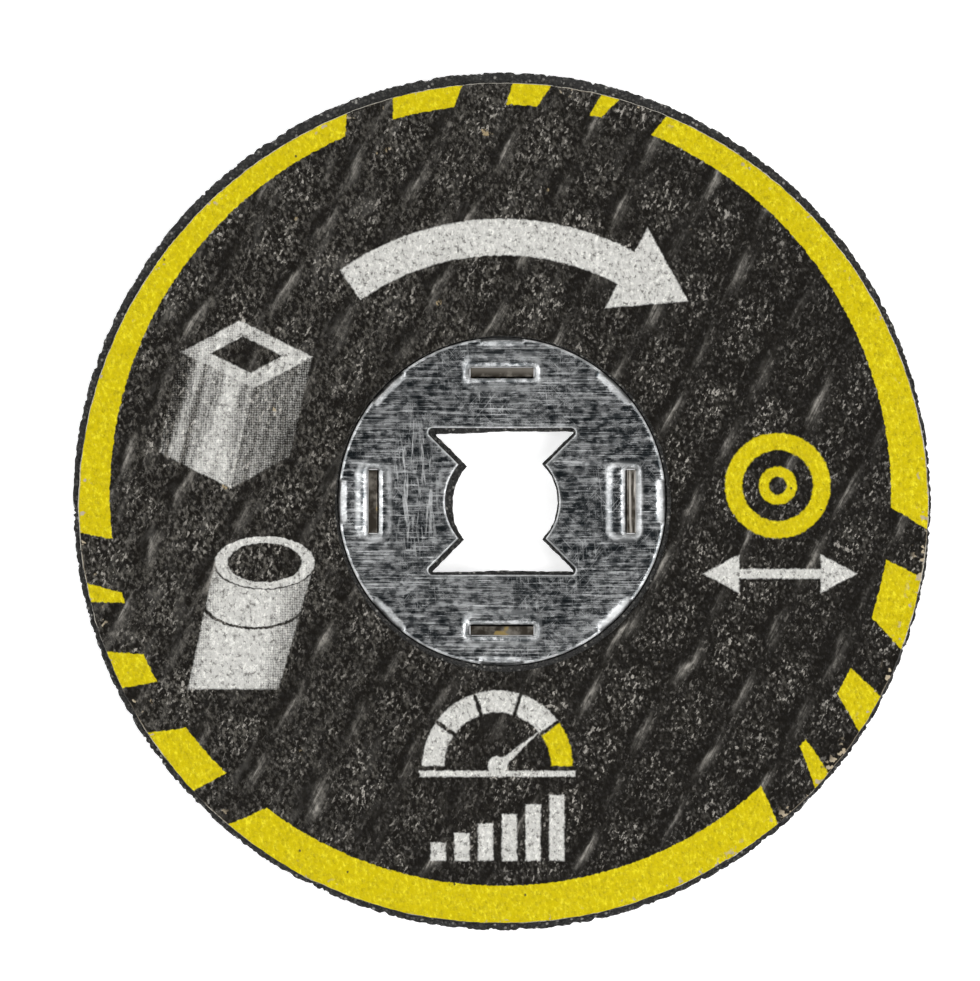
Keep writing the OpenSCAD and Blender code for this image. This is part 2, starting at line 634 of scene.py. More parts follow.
class Signal:
    """A number, vector or colour that flows through a material's nodes."""

    def __init__(self, graph: "Graph", socket: bpy.types.NodeSocket) -> None:
        """Keep the graph and the socket that the value comes from."""
        self.graph = graph
        self.socket = socket

    def __add__(self, other: Value) -> "Signal":
        """Sum of two numbers."""
        return self.graph.maths("ADD", self, other)

    def __sub__(self, other: Value) -> "Signal":
        """Difference of two numbers."""
        return self.graph.maths("SUBTRACT", self, other)

    def __mul__(self, other: Value) -> "Signal":
        """Product of two numbers."""
        return self.graph.maths("MULTIPLY", self, other)

    def __neg__(self) -> "Signal":
        """The number with its sign changed."""
        return self.graph.maths("MULTIPLY", self, -1.0)

    def size(self) -> "Signal":
        """The number without its sign."""
        return self.graph.maths("ABSOLUTE", self)

    def least(self, other: Value) -> "Signal":
        """The smaller of two numbers, which joins two drawn shapes."""
        return self.graph.maths("MINIMUM", self, other)

    def most(self, other: Value) -> "Signal":
        """The larger of two numbers, which keeps what two drawn shapes share."""
        return self.graph.maths("MAXIMUM", self, other)

    def wrapped(self, low: float, high: float) -> "Signal":
        """The number moved by whole turns into a range."""
        return self.graph.maths("WRAP", self, high, low)

    def ramp(
        self, low: float, high: float, from_value: float = 0.0, to_value: float = 1.0, eased: bool = True
    ) -> "Signal":
        """Go from one value to another.

        Args:
            low: Input at which the change starts.
            high: Input at which it ends.
            from_value: Result below low.
            to_value: Result above high.
            eased: Whether it starts and ends softly.

        Returns:
            The changed number.
        """
        made = self.graph.node("ShaderNodeMapRange", interpolation_type="SMOOTHSTEP" if eased else "LINEAR")
        ends = {"From_Min": low, "From_Max": high, "To_Min": from_value, "To_Max": to_value}
        self.graph.fill(made, Value=self, **ends)
        return Signal(self.graph, made.outputs["Result"])


class Graph:
    """Node tree of a material or of the world, with a method for each kind of node that is used."""

    def __init__(self, owner: bpy.types.Material | bpy.types.World) -> None:
        """Start an empty tree.

        Args:
            owner: What the tree belongs to.
        """
        owner.use_nodes = True
        self.owner = owner
        self.tree = owner.node_tree
        self.tree.nodes.clear()

    def node(self, kind: str, **settings: object) -> bpy.types.Node:
        """Add a node.

        Args:
            kind: The node's type.
            **settings: Properties to set on it.

        Returns:
            The node.
        """
        made = self.tree.nodes.new(kind)
        for key, value in settings.items():
            setattr(made, key, value)
        return made

    def feed(self, target: bpy.types.NodeSocket, value: Value) -> None:
        """Give an input its value, by a link or as a constant.

        Args:
            target: The input.
            value: A signal, or a constant that the socket holds itself.
        """
        if isinstance(value, Signal):
            self.tree.links.new(value.socket, target)
        else:
            target.default_value = value.value if isinstance(value, Ink) else value

    def fill(self, node: bpy.types.Node, **inputs: Value) -> bpy.types.Node:
        """Give several inputs of a node their values.

        Args:
            node: The node.
            **inputs: Values under the inputs' names, with underscores for the spaces.

        Returns:
            The same node.
        """
        for name, value in inputs.items():
            self.feed(node.inputs[name.replace("_", " ")], value)
        return node

    def maths(self, operation: str, *values: Value) -> Signal:
        """Add a maths node.

        Args:
            operation: What it works out.
            *values: Its inputs in order.

        Returns:
            The result.
        """
        made = self.node("ShaderNodeMath", operation=operation)
        for target, value in zip(made.inputs, values):
            self.feed(target, value)
        return Signal(self, made.outputs[0])

    def place(self, stretch: tuple[float, float, float] = (1, 1, 1), turn: float = 0.0) -> Signal:
        """Place on the piece in millimetres.

        Args:
            stretch: What each axis is multiplied by.
            turn: Angle in radians that the pattern is turned by on the page.

        Returns:
            The place as a vector.
        """
        source = Signal(self, self.node("ShaderNodeTexCoord").outputs["Object"])
        mapping = self.node("ShaderNodeMapping", vector_type="TEXTURE")
        self.fill(mapping, Vector=source, Rotation=(0, 0, turn), Scale=tuple(MM / s for s in stretch))
        return Signal(self, mapping.outputs["Vector"])

    def painted(self, name: str) -> Signal:
        """Number that the piece's own points carry under a name."""
        made = self.node("ShaderNodeAttribute", attribute_name=name)
        return Signal(self, made.outputs["Fac"])

    def axes(self, vector: Signal) -> tuple[Signal, Signal, Signal]:
        """Split a vector into its three numbers."""
        made = self.node("ShaderNodeSeparateXYZ")
        self.feed(made.inputs[0], vector)
        return tuple(Signal(self, s) for s in made.outputs)

    def cloud(self, vector: Signal, scale: float, detail: float = 2.0, roughness: float = 0.5) -> Signal:
        """Soft noise from 0 to 1.

        Args:
            vector: Where it is read.
            scale: Blotches in each unit of the vector.
            detail: Number of finer layers.
            roughness: How strong the finer layers are.

        Returns:
            The noise.
        """
        made = self.node("ShaderNodeTexNoise")
        self.fill(made, Vector=vector, Scale=scale, Detail=detail, Roughness=roughness)
        return Signal(self, made.outputs["Fac"])

    def grains(self, vector: Signal, scale: float, flat: bool = False) -> tuple[Signal, Signal]:
        """Packed grains.

        Args:
            vector: Where they are read.
            scale: Grains in each unit of the vector.
            flat: Whether they only spread over the page.

        Returns:
            Distance from the nearest grain's middle, and a random number for each grain.
        """
        made = self.node("ShaderNodeTexVoronoi", voronoi_dimensions="2D" if flat else "3D")
        self.fill(made, Vector=vector, Scale=scale)
        random = self.axes(Signal(self, made.outputs["Color"]))[0]
        return Signal(self, made.outputs["Distance"]), random

    def random(self, x: Signal, y: Signal) -> Signal:
        """Random number from 0 to 1 for each pair of whole numbers.

        Args:
            x: First number of the pair.
            y: Second number of the pair.

        Returns:
            The random number.
        """
        pair = self.fill(self.node("ShaderNodeCombineXYZ"), X=x, Y=y)
        made = self.node("ShaderNodeTexWhiteNoise", noise_dimensions="2D")
        self.fill(made, Vector=Signal(self, pair.outputs[0]))
        return Signal(self, made.outputs["Value"])

    def bell(self, value: Signal, half_width: float) -> Signal:
        """Smooth bump that is 1 where a value is 0."""
        scaled = value * (1 / half_width)
        return self.maths("EXPONENT", -(scaled * scaled))

    def mix(self, factor: Value, under: Value, over: Value) -> Signal:
        """Lay one colour over another.

        Args:
            factor: How much of the upper colour shows.
            under: The lower colour.
            over: The upper colour.

        Returns:
            The blended colour.
        """
        made = self.node("ShaderNodeMix", data_type="RGBA")
        self.feed(made.inputs[0], factor)
        self.feed(made.inputs[6], under)
        self.feed(made.inputs[7], over)
        return Signal(self, made.outputs[2])

    def layered(self, colour: Value, layers: Iterable[tuple[Value, Value]]) -> Signal:
        """Lay several colours over one another.

        Args:
            colour: The lowest colour.
            layers: How much of each further colour shows, and the colour, from the lowest up.

        Returns:
            The blended colour.
        """
        for factor, over in layers:
            colour = self.mix(factor, colour, over)
        return colour

    def bump(self, height: Signal, depth: float, under: "Signal | None" = None) -> Signal:
        """Fine relief that only bends the shading.

        Args:
            height: Relief from 0 to 1.
            depth: Its depth in millimetres.
            under: Coarser relief that it lies on.

        Returns:
            The bent normal.
        """
        made = self.fill(self.node("ShaderNodeBump"), Strength=1.0, Distance=depth * MM, Height=height)
        if under is not None:
            self.fill(made, Normal=under)
        return Signal(self, made.outputs["Normal"])

    def close(self, shader: bpy.types.Node, output: str = "ShaderNodeOutputMaterial") -> None:
        """Send a shader to the tree's output."""
        self.tree.links.new(shader.outputs[0], self.node(output).inputs["Surface"])

    def surface(self, **inputs: Value) -> bpy.types.Material:
        """Close the tree of a material with one shader.

        Args:
            **inputs: Values of the shader's inputs, as fill takes them.

        Returns:
            The finished material.
        """
        self.close(self.fill(self.node("ShaderNodeBsdfPrincipled"), **inputs))
        return self.owner


class Drawing:
    """Shapes on the label's face as distances in millimetres, negative inside a shape."""

    def __init__(self, graph: Graph, x: Signal, y: Signal) -> None:
        """Keep the page.

        Args:
            graph: The label's node tree.
            x: Place across the page.
            y: Place up the page.
        """
        self.graph = graph
        self.x = x
        self.y = y

    def from_point(self, centre: Point) -> Signal:
        """Distance from a point."""
        across = self.x - centre[0]
        up = self.y - centre[1]
        return self.graph.maths("SQRT", across * across + up * up)

    def disc(self, centre: Point, radius: float) -> Signal:
        """Filled circle."""
        return self.from_point(centre) - radius

    def ring(self, centre: Point, radius: float, half_width: float) -> Signal:
        """Band along a circle."""
        return (self.from_point(centre) - radius).size() - half_width

    def side(self, point: Point, angle: float) -> Signal:
        """Everything behind a straight edge.

        Args:
            point: A point on the edge.
            angle: Direction in degrees that the edge faces.

        Returns:
            The distance in front of the edge.
        """
        c, s = math.cos(math.radians(angle)), math.sin(math.radians(angle))
        return self.x * c + self.y * s - (point[0] * c + point[1] * s)

    def polygon(self, corners: Sequence[Point]) -> Signal:
        """Filled shape with no hollow corner.

        Args:
            corners: Its corners, counter-clockwise.

        Returns:
            The distance.
        """
        edges: list[Signal] = []
        for here, there in zip(corners, [*corners[1:], corners[0]]):
            facing = math.degrees(math.atan2(there[1] - here[1], there[0] - here[0])) - 90
            edges.append(self.side(here, facing))
        return reduce(Signal.most, edges)

    def bar(self, centre: Point, width: float, height: float) -> Signal:
        """Upright rectangle about its middle."""
        across = (self.x - centre[0]).size() - width / 2
        up = (self.y - centre[1]).size() - height / 2
        return across.most(up)


@dataclass(frozen=True)
class RimStripe:
    """Yellow stripe round the label's rim, broken in three places by slanted dashes.

    The print's own middle lies a little off the wheel's axis. Angles are in degrees.
    """

    centre: Point = (-0.07, 0.28)
    inner_r: float = 17.29
    breaks: tuple[float, ...] = (66.84, 185.81, 310.98)
    dashes: tuple[Point, ...] = ((7.5, 9.55), (17.05, 21.95), (29.4, 38.8))
    break_length: float = 45.95
    slant_r: float = 17.95
    start_slant: float = 1.69
    end_slant: float = 0.95
    overlap: float = 4.0
    soft_angle: float = 0.12
    soft_w: float = 0.03

    def draw(self, page: Drawing) -> Signal:
        """Draw the stripe.

        Args:
            page: The label's page.

        Returns:
            1 on the stripe, otherwise 0, with soft edges.
        """
        up, across = page.y - self.centre[1], page.x - self.centre[0]
        turn = page.graph.maths("ARCTAN2", up, across) * math.degrees(1)
        past = page.from_point((0, 0)) - self.slant_r
        angles = [(turn - start).wrapped(-self.overlap, 360 - self.overlap) for start in self.breaks]
        since = reduce(Signal.least, angles)
        starts = since + past * self.start_slant
        ends = since + past * self.end_slant
        soft = self.soft_angle
        stripe = (starts - self.break_length).ramp(-soft, soft).most(ends.ramp(-soft, soft, 1.0, 0.0))
        for first, last in self.dashes:
            dash = (starts - first).ramp(-soft, soft).least((ends - last).ramp(-soft, soft, 1.0, 0.0))
            stripe = stripe.most(dash)
        return stripe.least(page.disc(self.centre, self.inner_r).ramp(-self.soft_w, self.soft_w))


@dataclass(frozen=True)
class PaperGrain:
    """Fine patterns that the label's colours and its relief share."""

    seed: Signal
    chance: Signal
    crumple: Signal
    # Painted glints on the crests of the crumpled paper
    dust_and_glints: Signal
    # Painted glints of the grit, in small specks and short streaks
    speck: Signal
    wear: Signal
    fine: Signal

    @classmethod
    def of(cls, graph: Graph) -> "PaperGrain":
        """Make the patterns.

        Args:
            graph: The label's node tree.

        Returns:
            The patterns.
        """
        seed, chance = graph.grains(graph.place((1.0, 0.8, 1.0), 0.35), 5.4, flat=True)
        crumple = graph.cloud(graph.place((1.25, 0.8, 1.0), 0.3), 5.2, 3.0, 0.66)
        # Painted glints on the crests of the crumpled paper
        dust_and_glints = crumple.ramp(0.48, 0.74)
        # Painted glints on single grains of the grit
        speck = seed.ramp(0.16, 0.36, 1.0, 0.0) * chance.ramp(0.3, 0.85) * crumple.ramp(0.38, 0.56)
        # Painted glints in short streaks
        glint_flecks = graph.cloud(graph.place((0.75, 1.25, 1.0), 1.15), 4.8, 2.0, 0.66).ramp(0.575, 0.68)
        wear = graph.cloud(graph.place(), 3.6, 3.0, 0.74).ramp(0.52, 0.70)
        fine = graph.cloud(graph.place(), 11.0, 2.0, 0.64)
        return cls(seed, chance, crumple, dust_and_glints, glint_flecks.most(speck * 0.4), wear, fine)


@dataclass(frozen=True)
class PrintedPaper:
    """Finish of the label: black paper pressed onto the grit, with a yellow stripe and plain signs."""

    stripe: RimStripe = RimStripe()
    mesh: GlassMesh = GlassMesh()
    edge_soft: float = 0.05
    edge_wander: float = 0.13
    screen_pitch: float = 0.15

    def covered(self, *shapes: Signal) -> Signal:
        """How much of the page's ink the drawn shapes cover together."""
        return reduce(Signal.least, shapes).ramp(-self.edge_soft, self.edge_soft, 1.0, 0.0)

    def turning_arrow(self, page: Drawing) -> Signal:
        """Draw a curved arrow above the hub that shows which way the wheel turns.

        Args:
            page: The label's page.

        Returns:
            The drawn shape.
        """
        radius, half_w = 11.7, 0.8
        head_half_w, head_l = 2.0, 3.1
        turn = math.radians(62)
        band = page.ring((0, 0), radius, half_w)
        band = band.most(page.side((0, 0), 215)).most(page.side((0, 0), -31))
        neck = polar(radius, turn)
        ahead = Vector((math.sin(turn), -math.cos(turn)))
        out = ahead.orthogonal() * head_half_w
        corners = [tuple(corner) for corner in (neck + out, neck - out, neck + ahead * head_l)]
        return band.least(page.polygon(corners))

    def square_tube(self, page: Drawing) -> list[tuple[Signal, Signal]]:
        """Draw a square tube in a slanted view.

        Args:
            page: The label's page.

        Returns:
            Its two long sides and its open end, each with its tone.
        """
        end = ((-11.6, 8.0), (-14.2, 6.6), (-11.0, 5.0), (-8.4, 6.4))
        middle, open_share = (-11.3, 6.5), 0.55
        drop = (-1.0, -4.4)
        lower = [(x + drop[0], y + drop[1]) for x, y in end]
        left = page.polygon([end[1], lower[1], lower[2], end[2]])
        right = page.polygon([end[2], lower[2], lower[3], end[3]])
        opening = page.polygon([tuple(Vector(middle).lerp(Vector(corner), open_share)) for corner in end])
        rim = page.polygon(end).most(-opening)
        graph = page.graph
        lengthwise = graph.place((0.1, 1.5, 1.0), math.radians(77))
        sheen = graph.cloud(lengthwise, 1.0, 3.0, 0.6).ramp(0.38, 0.62)
        light = page.side((-12.8, 4.0), -12).ramp(-2.4, 1.6, 0.0, 0.38) + sheen * 0.5
        shade = page.side((-10.2, 3.6), -12).ramp(-1.6, 1.6, 0.25, 0.1) + sheen * 0.25
        return [(left, light), (right, shade), (rim, light.ramp(0.0, 1.0, 0.45, 1.0))]

    def round_tube(self, page: Drawing) -> list[tuple[Signal, Signal]]:
        """Draw a round tube with a collar in a slanted view.

        Args:
            page: The label's page.

        Returns:
            Its side and its open end, each with its tone.
        """
        squash = 1.9
        flat = Drawing(page.graph, page.x, page.y * squash)
        end, end_r, bore_r = (-10.5, -2.7 * squash), 2.2, 1.65
        collar, collar_r = (-10.95, -4.4), 2.3
        side = page.polygon([(-12.7, -2.7), (-13.9, -8.3), (-9.9, -8.3), (-8.3, -2.7)])
        side = side.most(-flat.disc(end, collar_r))
        seam = flat.ring((collar[0], collar[1] * squash), collar_r, 0.1).most(page.side(collar, 90))
        side = side.most(-seam)
        rim = flat.disc(end, end_r).most(-flat.disc(end, bore_r))
        tone = (page.side((-11.5, -5.5), -14)).size().ramp(0.4, 2.2, 1.0, 0.45)
        return [(side, tone), (rim, tone.ramp(0.0, 1.0, 0.7, 1.0))]

    def wheel_sign(self, page: Drawing) -> Signal:
        """Small wheel seen face on, to the right of the hub."""
        centre = (12.2, 0.7)
        return page.ring(centre, 1.95, 0.38).least(page.ring(centre, 0.62, 0.22))

    def width_sign(self, page: Drawing) -> Signal:
        """Draw a double arrow under the small wheel.

        Args:
            page: The label's page.

        Returns:
            The drawn shape.
        """
        y, half_h = -3.2, 0.85
        shaft = page.bar((12.3, y), 5.0, 0.42)
        left = page.polygon([(8.9, y), (10.5, y - half_h), (10.5, y + half_h)])
        right = page.polygon([(15.7, y), (14.1, y + half_h), (14.1, y - half_h)])
        return shaft.least(left).least(right)

    def dial(self, page: Drawing) -> tuple[Signal, Signal]:
        """Draw a plain dial below the hub.

        Args:
            page: The label's page.

        Returns:
            Its silver part and its yellow end.
        """
        centre, gap_half_w = (-0.2, -11.7), 0.09
        band = page.ring(centre, 2.85, 0.48).most(page.side(centre, -90))
        for angle in (36, 72, 108, 144):
            gap = page.side(centre, angle + 90).size() - gap_half_w
            ahead = page.side(centre, angle + 180)
            band = band.most(-gap.most(ahead))
        fast = band.most(page.side(centre, 126))
        slow = band.most(page.side(centre, -54))
        needle = page.polygon([(-0.35, -11.6), (-0.05, -11.9), (1.75, -10.1)])
        base = page.bar((centre[0], -12.05), 6.9, 0.26)
        slow = slow.least(needle).least(base).least(page.disc(centre, 0.42))
        return slow, fast

    def level_bars(self, page: Drawing) -> Signal:
        """Draw a row of rising bars under the dial.

        Args:
            page: The label's page.

        Returns:
            The drawn shape.
        """
        count, pitch, width = 6, 1.05, 0.66
        first_x, foot = -0.2 - (count - 1) / 2 * pitch, -15.9
        heights = [0.8 + 0.42 * i for i in range(count)]
        bars = [page.bar((first_x + i * pitch, foot + h / 2), width, h) for i, h in enumerate(heights)]
        return reduce(Signal.least, bars)

    def weave(self, graph: Graph) -> tuple[Signal, Signal, Signal]:
        """Show the glass mesh under the paper, with painted highlights and painted shade.

        Args:
            graph: The label's node tree.

        Returns:
            Painted highlights where a strand crosses over, the painted shade of the folds beside them, and
            the gritty openings.
        """
        mesh = self.mesh
        along, across, _ = graph.axes(graph.place(turn=mesh.angle))
        swerve = graph.cloud(graph.place(turn=0.5), 0.3, 2.0) - 0.5
        sway = graph.cloud(graph.place(turn=0.9), 0.3, 3.0) - 0.5
        along = along - mesh.first_knot[0] + swerve * 2.6
        across = across - mesh.first_knot[1] + sway * 1.6
        aside = across.wrapped(-mesh.warp_pitch / 2, mesh.warp_pitch / 2)
        ahead = along.wrapped(-mesh.weft_pitch / 2, mesh.weft_pitch / 2)
        row = graph.maths("ROUND", (across - aside) * (1 / mesh.warp_pitch))
        count = graph.maths("ROUND", (along - ahead) * (1 / mesh.weft_pitch))
        strength = graph.random(row, count).ramp(0.0, 0.8, 0.1, 1.0)
        frayed = (graph.cloud(graph.place((0.5, 1.6, 1.0), mesh.angle), 3.2, 3.0, 0.65) - 0.5) * 0.3
        crest, knot = aside + frayed, ahead + frayed
        # Painted highlights along the strands' crests, in dashes where they cross over
        dashes = graph.bell(crest, 0.08) * 0.65 + graph.bell(crest + 0.1, 0.19) * 0.35
        hairs = graph.cloud(graph.place((0.45, 8.0, 1.0), mesh.angle), 1.0, 2.0, 0.6)
        dashes = dashes * graph.bell(knot, 0.75) * strength * hairs.ramp(0.36, 0.60, 0.3, 1.15)
        # Painted shade on the fold beside each strand
        fold_shade = graph.bell(crest - 0.36, 0.3) * graph.bell(knot, 1.3)
        fringe = (graph.cloud(graph.place(), 1.1, 3.0, 0.66) - 0.5) * 1.8
        openings = (aside.size() + fringe).ramp(0.3, 0.95) * ((ahead + 0.3).size() + fringe).ramp(0.25, 0.85)
        patchy = graph.cloud(graph.place(turn=0.2), 0.3, 2.0).ramp(0.3, 0.6, 0.35, 1.0)
        return dashes, fold_shade, (openings * 0.84 + 0.16) * patchy

    def paper(self, page: Drawing, grain: PaperGrain) -> Signal:
        """Colour the black paper with the painted highlights and shade of the mesh, the painted sheen of the
        creases, the painted glints of the grit that shows through it, and stains.

        Args:
            page: The label's page.
            grain: Its fine patterns.

        Returns:
            The colour.
        """
        graph = page.graph
        dashes, fold_shade, cell = self.weave(graph)
        # How far a place lies outside the painted fold shade, which keeps the painted glints out of it
        outside_fold_shade = fold_shade * -0.9 + 1.0
        # Painted sheen in broad streaks, stronger towards the left of the label
        crease_sheen_side = page.side((0, 0), 160).ramp(-9.0, 12.0)
        # Where the painted sheen on the crumples shows: most in the openings and towards the left
        shown = (cell * 0.4 + crease_sheen_side * 0.55 + 0.12) * outside_fold_shade
        broad = graph.cloud(graph.place((0.4, 1.4, 1.0), 1.09), 1.1, 3.0, 0.66).ramp(0.52, 0.74)
        stain = graph.cloud(graph.place(), 0.62, 2.0).ramp(0.735, 0.75)
        layers = (
            # Painted sheen on the creases
            (broad * crease_sheen_side, Ink.CREASE_SHEEN),
            # Painted highlights along the strands
            (dashes * grain.crumple.ramp(0.30, 0.60, 0.4, 1.0), Ink.STRAND_HIGHLIGHT),
            # Painted glints and sheen on the crumples
            (grain.crumple.ramp(0.44, 0.78) * shown * 0.6, Ink.CRUMPLE_SHEEN),
            # Painted glints of the grit, most in the openings and kept out of the painted fold shade
            (grain.speck * (cell * 0.85 + 0.15) * outside_fold_shade, Ink.GLINT_SPECK),
            (stain * grain.crumple.ramp(0.46, 0.6), Ink.STAIN),
        )
        return graph.layered(Ink.BLACK, layers)

    def silver(self, graph: Graph, grain: PaperGrain) -> Signal:
        """Silver ink, with painted glints on the crests of the paper, and dull where it is worn and in
        painted shade in the paper's hollows.
        """
        # Worn patches, and painted shade where the crumple pattern is low
        worn = grain.wear.most(grain.crumple.ramp(0.42, 0.30))
        return graph.layered(
            Ink.SILVER, ((grain.dust_and_glints.most(grain.speck), Ink.GLINT_SILVER), (worn, Ink.WORN_AND_SHADED_SILVER))
        )

    def yellow(self, graph: Graph, grain: PaperGrain) -> Signal:
        """Colour the yellow ink, which is worn as the paper under it is, with painted glints on the crests
        and painted shade in the hollows.

        Args:
            graph: The label's node tree.
            grain: The paper's fine patterns.

        Returns:
            The colour.
        """
        spots = grain.chance.ramp(0.997, 0.998) * grain.seed.ramp(0.2, 0.3, 1.0, 0.0)
        layers = (
            # Painted glints on the crests
            (grain.dust_and_glints * 0.9, Ink.GLINT_YELLOW),
            # Painted shade where the crumple pattern is low
            (grain.crumple.ramp(0.44, 0.26) * 0.8, Ink.SHADED_YELLOW),
            (grain.wear * 0.6, Ink.WORN_YELLOW),
            (spots * 0.9, Ink.SPOTTED_YELLOW),
        )
        return graph.layered(Ink.YELLOW, layers)

    def chips(self, page: Drawing, place: Signal) -> Signal:
        """Show small bare chips along the label's worn edge, most of them low on the right.

        Args:
            page: The label's page.
            place: Place on the label.

        Returns:
            How bare the paper is.
        """
        inside = page.graph.painted("inside")
        worn_side = page.side((0, 0), -30).ramp(13.5, 17.5, 0.0, 0.075)
        level = page.graph.cloud(place, 2.4, 2.0, 0.6) + worn_side
        bare_edge = page.graph.cloud(place, 0.5, 3.0, 0.6).ramp(0.47, 0.55) * inside.ramp(0.06, 0.02)
        return (level.ramp(0.66, 0.70) * inside.ramp(0.58, 0.08)).most(bare_edge * 0.8)

    def build(self) -> bpy.types.Material:
        """Make the material of the label's printed face.

        Returns:
            The material.
        """
        graph = Graph(bpy.data.materials.new("printed_paper"))
        place = graph.place()
        turned = graph.place((1, 1.02, 1), 0.7)
        wander = [(graph.cloud(p, 6.0, 1.0, 0.6) - 0.5) * self.edge_wander for p in (place, turned)]
        x, y, _ = graph.axes(place)
        page = Drawing(graph, x + wander[0], y + wander[1])
        grain = PaperGrain.of(graph)
        silver, yellow = self.silver(graph, grain), self.yellow(graph, grain)

        slow, fast = self.dial(page)
        silver_signs = (self.turning_arrow(page), self.width_sign(page), slow, self.level_bars(page))
        in_silver = self.covered(*silver_signs)
        in_yellow = self.stripe.draw(page).most(self.covered(self.wheel_sign(page), fast))
        lines = [page.side((0, 0), angle) * (TAU / self.screen_pitch) for angle in (45, 135)]
        screen = graph.maths("SINE", lines[0]) * graph.maths("SINE", lines[1])
        colour = self.paper(page, grain)
        for shape, tone in self.square_tube(page) + self.round_tube(page):
            inked = (tone * 1.12 + screen * 0.2 + (grain.fine - 0.5) * 0.6).ramp(0.0, 1.0)
            colour = graph.mix(self.covered(shape) * inked, colour, silver)
        layers = ((in_silver, silver), (in_yellow, yellow), (self.chips(page, place), Ink.BARE))
        colour = graph.layered(colour, layers)

        bumps = grain.seed.ramp(0.06, 0.52, 1.0, 0.0) * grain.chance
        relief = graph.bump(grain.fine, 0.03, graph.bump(bumps, 0.05))
        roughness = grain.fine.ramp(0.3, 0.7, 0.32, 0.46)
        return graph.surface(Base_Color=colour, Roughness=roughness, Normal=relief, Specular_IOR_Level=0.13)


@dataclass(frozen=True)
class PaperEdge:
    """Finish of the label's cut edge, where pale paper shows between worn black stretches."""

    pale: Colour = (0.56, 0.53, 0.46, 1.0)
    dark: Colour = (0.035, 0.032, 0.028, 1.0)

    def build(self) -> bpy.types.Material:
        """Make the material.

        Returns:
            The material.
        """
        graph = Graph(bpy.data.materials.new("paper_edge"))
        place = graph.place()
        _, up, _ = graph.axes(place)
        bare = (graph.cloud(place, 0.55, 3.0, 0.6) + up.ramp(-12.0, 6.0) * 0.16).ramp(0.48, 0.62)
        fray = graph.cloud(place, 6.0, 2.0).ramp(0.3, 0.5)
        colour = graph.mix(bare * fray, self.dark, self.pale)
        return graph.surface(Base_Color=colour, Roughness=0.8)


@dataclass(frozen=True)
class BondedGrit:
    """Finish of the abrasive: dark grains of several greys in a resin bond."""

    bond: Colour = (0.007, 0.0067, 0.006, 1.0)
    grain: Colour = (0.062, 0.06, 0.054, 1.0)
    crystal: Colour = (0.28, 0.272, 0.25, 1.0)
    grain_count: float = 6.5

    def build(self) -> bpy.types.Material:
        """Make the material.

        Returns:
            The material.
        """
        graph = Graph(bpy.data.materials.new("bonded_grit"))
        place = graph.place()
        seed, chance = graph.grains(place, self.grain_count)
        body = seed.ramp(0.25, 0.62, 1.0, 0.0)
        colour = graph.mix(body * chance.ramp(0.1, 0.8), self.bond, self.grain)
        colour = graph.mix(body * chance.ramp(0.86, 0.97), colour, self.crystal)
        dust_and_glints = graph.cloud(place, 14.0, 3.0, 0.65).ramp(0.5, 0.8)
        colour = graph.mix(dust_and_glints * 0.22, colour, self.crystal)
        relief = graph.bump(body, 0.06)
        relief = graph.bump(graph.cloud(place, 16.0, 3.0, 0.6), 0.03, relief)
        roughness = chance.ramp(0.2, 1.0, 0.75, 0.35)
        return graph.surface(Base_Color=colour, Roughness=roughness, Normal=relief, Specular_IOR_Level=0.5)


